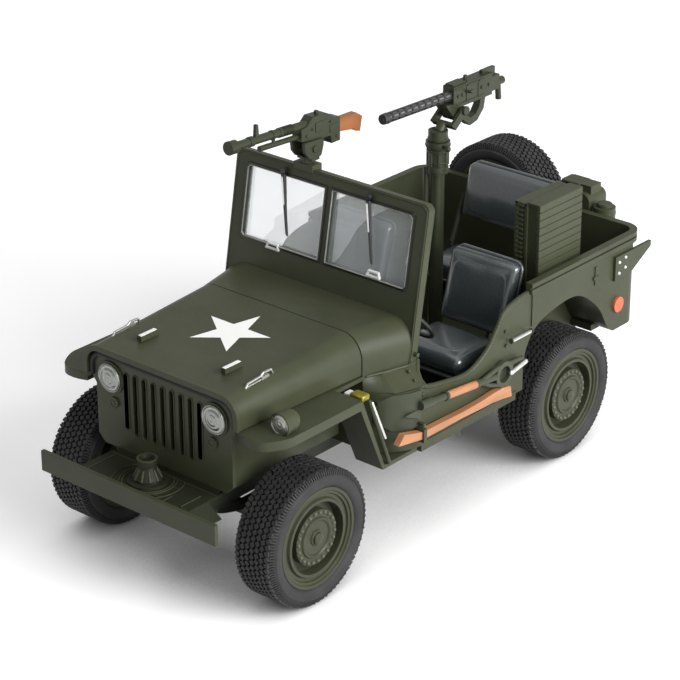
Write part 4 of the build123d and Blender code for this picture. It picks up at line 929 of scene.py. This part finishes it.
lathe(bm, [(0, 0.001), (0, 2.3), (0.35, 2.2), (0.35, 0.001)],
      (flask_mid.x, flask_mid.y, flask_high[2] - 0.05), upward, 32)
finish_mesh("canister_bands", bm, olive, "chassis", bevel=0.08)

# ---- pedestal and rear gun moulding ----------------------------------------
post_s, post_ribs, foot_bolts = 100.3, 8, 6
bm = bmesh.new()
for z, r, tall in ((84.6, 3.35, 0.5), (87.2, 3.15, 0.5), (90.6, 3.3, 0.6), (92.4, 3.75, 0.5)):
    ring(bm, 2.4, r, tall, mm(0, post_s, z), upward, 40)
for k in range(post_ribs):
    turn = Matrix.Rotation(2 * math.pi * k / post_ribs, 4, "Z")
    bmesh.ops.create_cone(bm, cap_ends=True, segments=6, radius1=0.45, radius2=0.45, depth=5.0,
                          matrix=Matrix.Translation(mm(0, post_s, 88.9)) @ turn
                          @ Matrix.Translation((2.95, 0, 0)))
rod(bm, mm(3.0, post_s - 1.2, 92.9), mm(5.0, post_s - 2.0, 92.9), 0.55, sides=14)
ball(bm, mm(5.4, post_s - 2.15, 92.9), 0.9, 16, 10)
for k in range(foot_bolts):
    angle = 2 * math.pi * k / foot_bolts
    x, s = 4.6 * math.cos(angle), post_s + 4.6 * math.sin(angle)
    rod(bm, mm(x, s, 33.0), mm(x, s, 33.5), 0.6, sides=6)
finish_mesh("post_rings", bm, gun_olive, "chassis", bevel=0.06)

yoke_x, pivot_s, pivot_z = 4.1, 107.6, 101.9
bm = bmesh.new()
for sign in (1, -1):
    rod(bm, mm(sign * yoke_x, pivot_s, pivot_z), mm(sign * (yoke_x + 0.7), pivot_s, pivot_z),
        1.35, sides=20)
ring(bm, 2.0, 3.05, 0.6, mm(0, post_s, 94.4), upward, 40)
finish_mesh("yoke_bolts", bm, gun_olive, "rear_gun_yoke", bevel=0.1)

bm = bmesh.new()
bar(bm, [mm(2.0, 110.5, 106.6), mm(3.6, 110.9, 106.6)], 0.45, 12)
for s0, s1, z0, z1 in ((105.6, 119.0, 108.0, 108.5), (105.6, 119.0, 103.2, 103.6),
                       (110.6, 111.2, 103.2, 108.5), (116.2, 116.8, 103.2, 108.5)):
    for sign in (1, -1):
        box(bm, sorted((sign * 1.9, sign * 2.2)), (s0, s1), (z0, z1))
for s in (107.0, 109.0, 113.4, 118.0, 121.4):
    for sign in (1, -1):
        rod(bm, mm(sign * 1.9, s, 105.8), mm(sign * 2.35, s, 105.8), 0.5, sides=12)
box(bm, (-1.5, 1.5), (105.2, 111.0), (108.9, 109.6))
box(bm, (-0.35, 0.35), (112.0, 113.0), (108.9, 110.6))
finish_mesh("receiver_plates", bm, gun_olive, "rear_gun_body", bevel=0.08)

bm = bmesh.new()
jacket_a, jacket_b = mm(0, 75.6, 107.0), mm(0, 104.8, 106.12)
along = (jacket_b - jacket_a).normalized()
turn = along.to_track_quat("Z", "Y").to_matrix().to_4x4()
length = (jacket_b - jacket_a).length
hoops, slats = 11, 8
for k in range(hoops):
    here = jacket_a + along * (length * k / (hoops - 1))
    lathe(bm, [(-0.34, 1.3), (-0.34, 1.52), (0.34, 1.52), (0.34, 1.3)], here, along, 24)
for k in range(slats):
    spoke = (turn @ Matrix.Rotation(2 * math.pi * k / slats, 4, "Z")
             @ Matrix.Translation((1.4, 0, 0)))
    spoke = Matrix.Translation((jacket_a + jacket_b) / 2) @ spoke
    bmesh.ops.create_cube(bm, size=1, matrix=spoke @ Matrix.Diagonal((0.22, 0.42, length, 1)))
lathe(bm, [(-0.5, 0.6), (-0.5, 1.5), (1.4, 1.65), (1.4, 0.6)], jacket_a, along, 28)
finish_mesh("perforated_jacket", bm, gun_black, "rear_gun_body",
            stands_for=("rear_gun_barrel",))
bm = bmesh.new()
rod(bm, jacket_a, jacket_b, 1.15, sides=20)
finish_mesh("inner_barrel", bm, gun_steel, "rear_gun_body")

# ---- front gun moulding ----------------------------------------------------
gun_x, fork_s, fork_z = -9.8, 54.33, 102.5
bm = bmesh.new()
muzzle, breech = mm(gun_x, 22.3, 111.0), mm(gun_x, 48.0, 109.53)
along = (breech - muzzle).normalized()
for shift, r, long in ((0.0, 1.95, 0.9), (2.8, 1.5, 0.6), (8.0, 1.45, 1.6), (17.0, 1.4, 0.8),
                       (20.0, 1.4, 0.8)):
    rod(bm, muzzle + along * shift, muzzle + along * (shift + long), r, sides=24)
for k in range(8):
    start = 21.4 + k * 0.55
    rod(bm, muzzle + along * start, muzzle + along * (start + 0.25), 1.42, sides=20)
finish_mesh("muzzle_rings", bm, gun_olive, "front_gun_body", bevel=0.06)
bm = bmesh.new()
for sign in (1, -1):
    x = gun_x + sign * 1.75
    box(bm, sorted((x - sign * 0.1, x + sign * 0.22)), (55.8, 60.4), (106.6, 109.4))
    box(bm, sorted((x - sign * 0.1, x + sign * 0.2)), (61.8, 65.4), (104.8, 107.2))
    for s, z in ((52.2, 106.6), (54.6, 108.0), (62.2, 108.2), (64.8, 103.2)):
        rod(bm, mm(x, s, z), mm(x + sign * 0.35, s, z), 0.45, sides=12)
box(bm, (gun_x - 0.5, gun_x + 0.5), (57.6, 58.6), (110.8, 112.2))
finish_mesh("light_receiver_plates", bm, gun_olive, "front_gun_body", bevel=0.08)
bm = bmesh.new()
for sign in (1, -1):
    x = gun_x + sign * 2.8
    rod(bm, mm(x, fork_s, fork_z), mm(x + sign * 0.5, fork_s, fork_z), 1.0, sides=18)
finish_mesh("fork_bolts", bm, gun_olive, "front_gun_fork_body", bevel=0.08)

# ---- tools -----------------------------------------------------------------
tool_gap = 1.5
tool_x = body_half + tool_gap
bm = bmesh.new()
plate(bm, [mm(body_half - 0.05, s, z) for s, z in ((35.1, 42.4), (42.0, 42.9), (42.0, 39.2))],
      (1, 0, 0), 0.75)
box(bm, (tool_x - 0.9, tool_x + 1.3), (40.5, 41.5), (38.0, 39.0))
finish_mesh("blade_fittings", bm, tool_olive, "chassis", bevel=0.15)
bm = bmesh.new()
for high in (43.3, 37.0):
    bar(bm, [mm(tool_x, 67.2, 41.4), mm(tool_x, 71.0, (41.2 + high) / 2), mm(tool_x, 77.0, high)],
        0.7, 12)
finish_mesh("fork_branches", bm, tool_olive, "chassis")
bm = bmesh.new()
bar(bm, [mm(tool_x + 0.6, 80.6, 39.8), mm(tool_x + 0.6, 87.2, 41.0)], 0.8, 12)
finish_mesh("ring_bar", bm, silver, "chassis")


# ---- camera, light and floor -----------------------------------------------
def aim(thing, place, target, roll=0.0):
    """Stand a camera or lamp at a place, its axis on a target."""
    turn = (Vector(target) - Vector(place)).to_track_quat("-Z", "Y").to_matrix().to_4x4()
    thing.matrix_world = (Matrix.Translation(Vector(place)) @ turn
                          @ Matrix.Rotation(math.radians(roll), 4, "Z"))


azimuth, elevation, distance = math.radians(40.9), math.radians(24.94), 0.70759
target = Vector((0.9, -9.76, 45.94)) * MM
back = Vector((math.sin(azimuth) * math.cos(elevation), -math.cos(azimuth) * math.cos(elevation),
               math.sin(elevation)))
camera = bpy.data.objects.new("camera", bpy.data.cameras.new("camera"))
camera.data.sensor_width = 36
camera.data.lens = 131.11
camera.data.clip_start = 0.01
bpy.context.scene.collection.objects.link(camera)
aim(camera, target + back * distance, target, -0.17)
bpy.context.scene.camera = camera


def lamp(name, place, size, watts):
    """A round soft light that faces the model."""
    light = bpy.data.lights.new(name, "AREA")
    light.shape = "DISK"
    light.size = size
    light.energy = watts
    holder = bpy.data.objects.new(name, light)
    bpy.context.scene.collection.objects.link(holder)
    aim(holder, place, (0, 0, 0.04))


lamp("key_light", (0.92, 0.05, 0.47), 0.8, 15.0)
lamp("top_light", (0.0, -0.1, 1.0), 1.2, 2.2)

world = bpy.data.worlds.new("studio")
bpy.context.scene.world = world
world.use_nodes = True
sky = world.node_tree
world_light = 0.42
plain, backdrop = sky.nodes["Background"], sky.nodes.new("ShaderNodeBackground")
plain.inputs["Color"].default_value = backdrop.inputs["Color"].default_value = (1, 1, 1, 1)
plain.inputs["Strength"].default_value = world_light
# plain white where it is seen, softer as a light
rays = sky.nodes.new("ShaderNodeLightPath")
shown = (Value(sky, rays.outputs["Is Camera Ray"])
         + Value(sky, rays.outputs["Is Glossy Ray"]) * 0.3
         + Value(sky, rays.outputs["Is Transmission Ray"])).smooth(0.0, 1.0)
blend = sky.nodes.new("ShaderNodeMixShader")
feed(sky, blend.inputs[0], shown)
sky.links.new(plain.outputs[0], blend.inputs[1])
sky.links.new(backdrop.outputs[0], blend.inputs[2])
sky.links.new(blend.outputs[0], sky.nodes["World Output"].inputs["Surface"])

floor_bm = bmesh.new()
bmesh.ops.create_grid(floor_bm, x_segments=2, y_segments=2, size=2.5)
floor_mesh = bpy.data.meshes.new("floor")
floor_bm.to_mesh(floor_mesh)
floor_bm.free()
floor = bpy.data.objects.new("floor", floor_mesh)
bpy.context.scene.collection.objects.link(floor)
ground = Finish("floor_white", Roughness=0.9)
# white where it is seen but grey as a bounce light, with painted contact shade from an occlusion
# mask where it meets the model
rays = ground.node("LightPath")
seen = (ground.out(rays, "Is Camera Ray") + ground.out(rays, "Is Glossy Ray")
        + ground.out(rays, "Is Transmission Ray")).smooth(0.0, 1.0)
painted_contact_shade = ground.node("AmbientOcclusion", {"samples": 8}, Distance=0.05)
seen = seen * ground.out(painted_contact_shade, "AO").smooth(0.1, 0.75)
ground.set("Base Color", ground.tint(seen, (0.5, 0.5, 0.5), (0.97, 0.97, 0.97)))
# a glow that grows away from the model hides the floor's far edge; weaker near the model and in
# the painted contact shade, it also paints the floor darker round the model
across, rearwards = ground.axis("X"), ground.axis("Y")
away = (across * across + rearwards * rearwards).smooth(0.03, 0.6)
ground.set("Emission Color", ground.tint(seen * (0.36 + 0.64 * away), (0, 0, 0),
                                         (0.6, 0.6, 0.6)))
ground.set("Emission Strength", 1.0)
floor_mesh.materials.append(ground.material)

bpy.context.scene.view_settings.view_transform = "Standard"
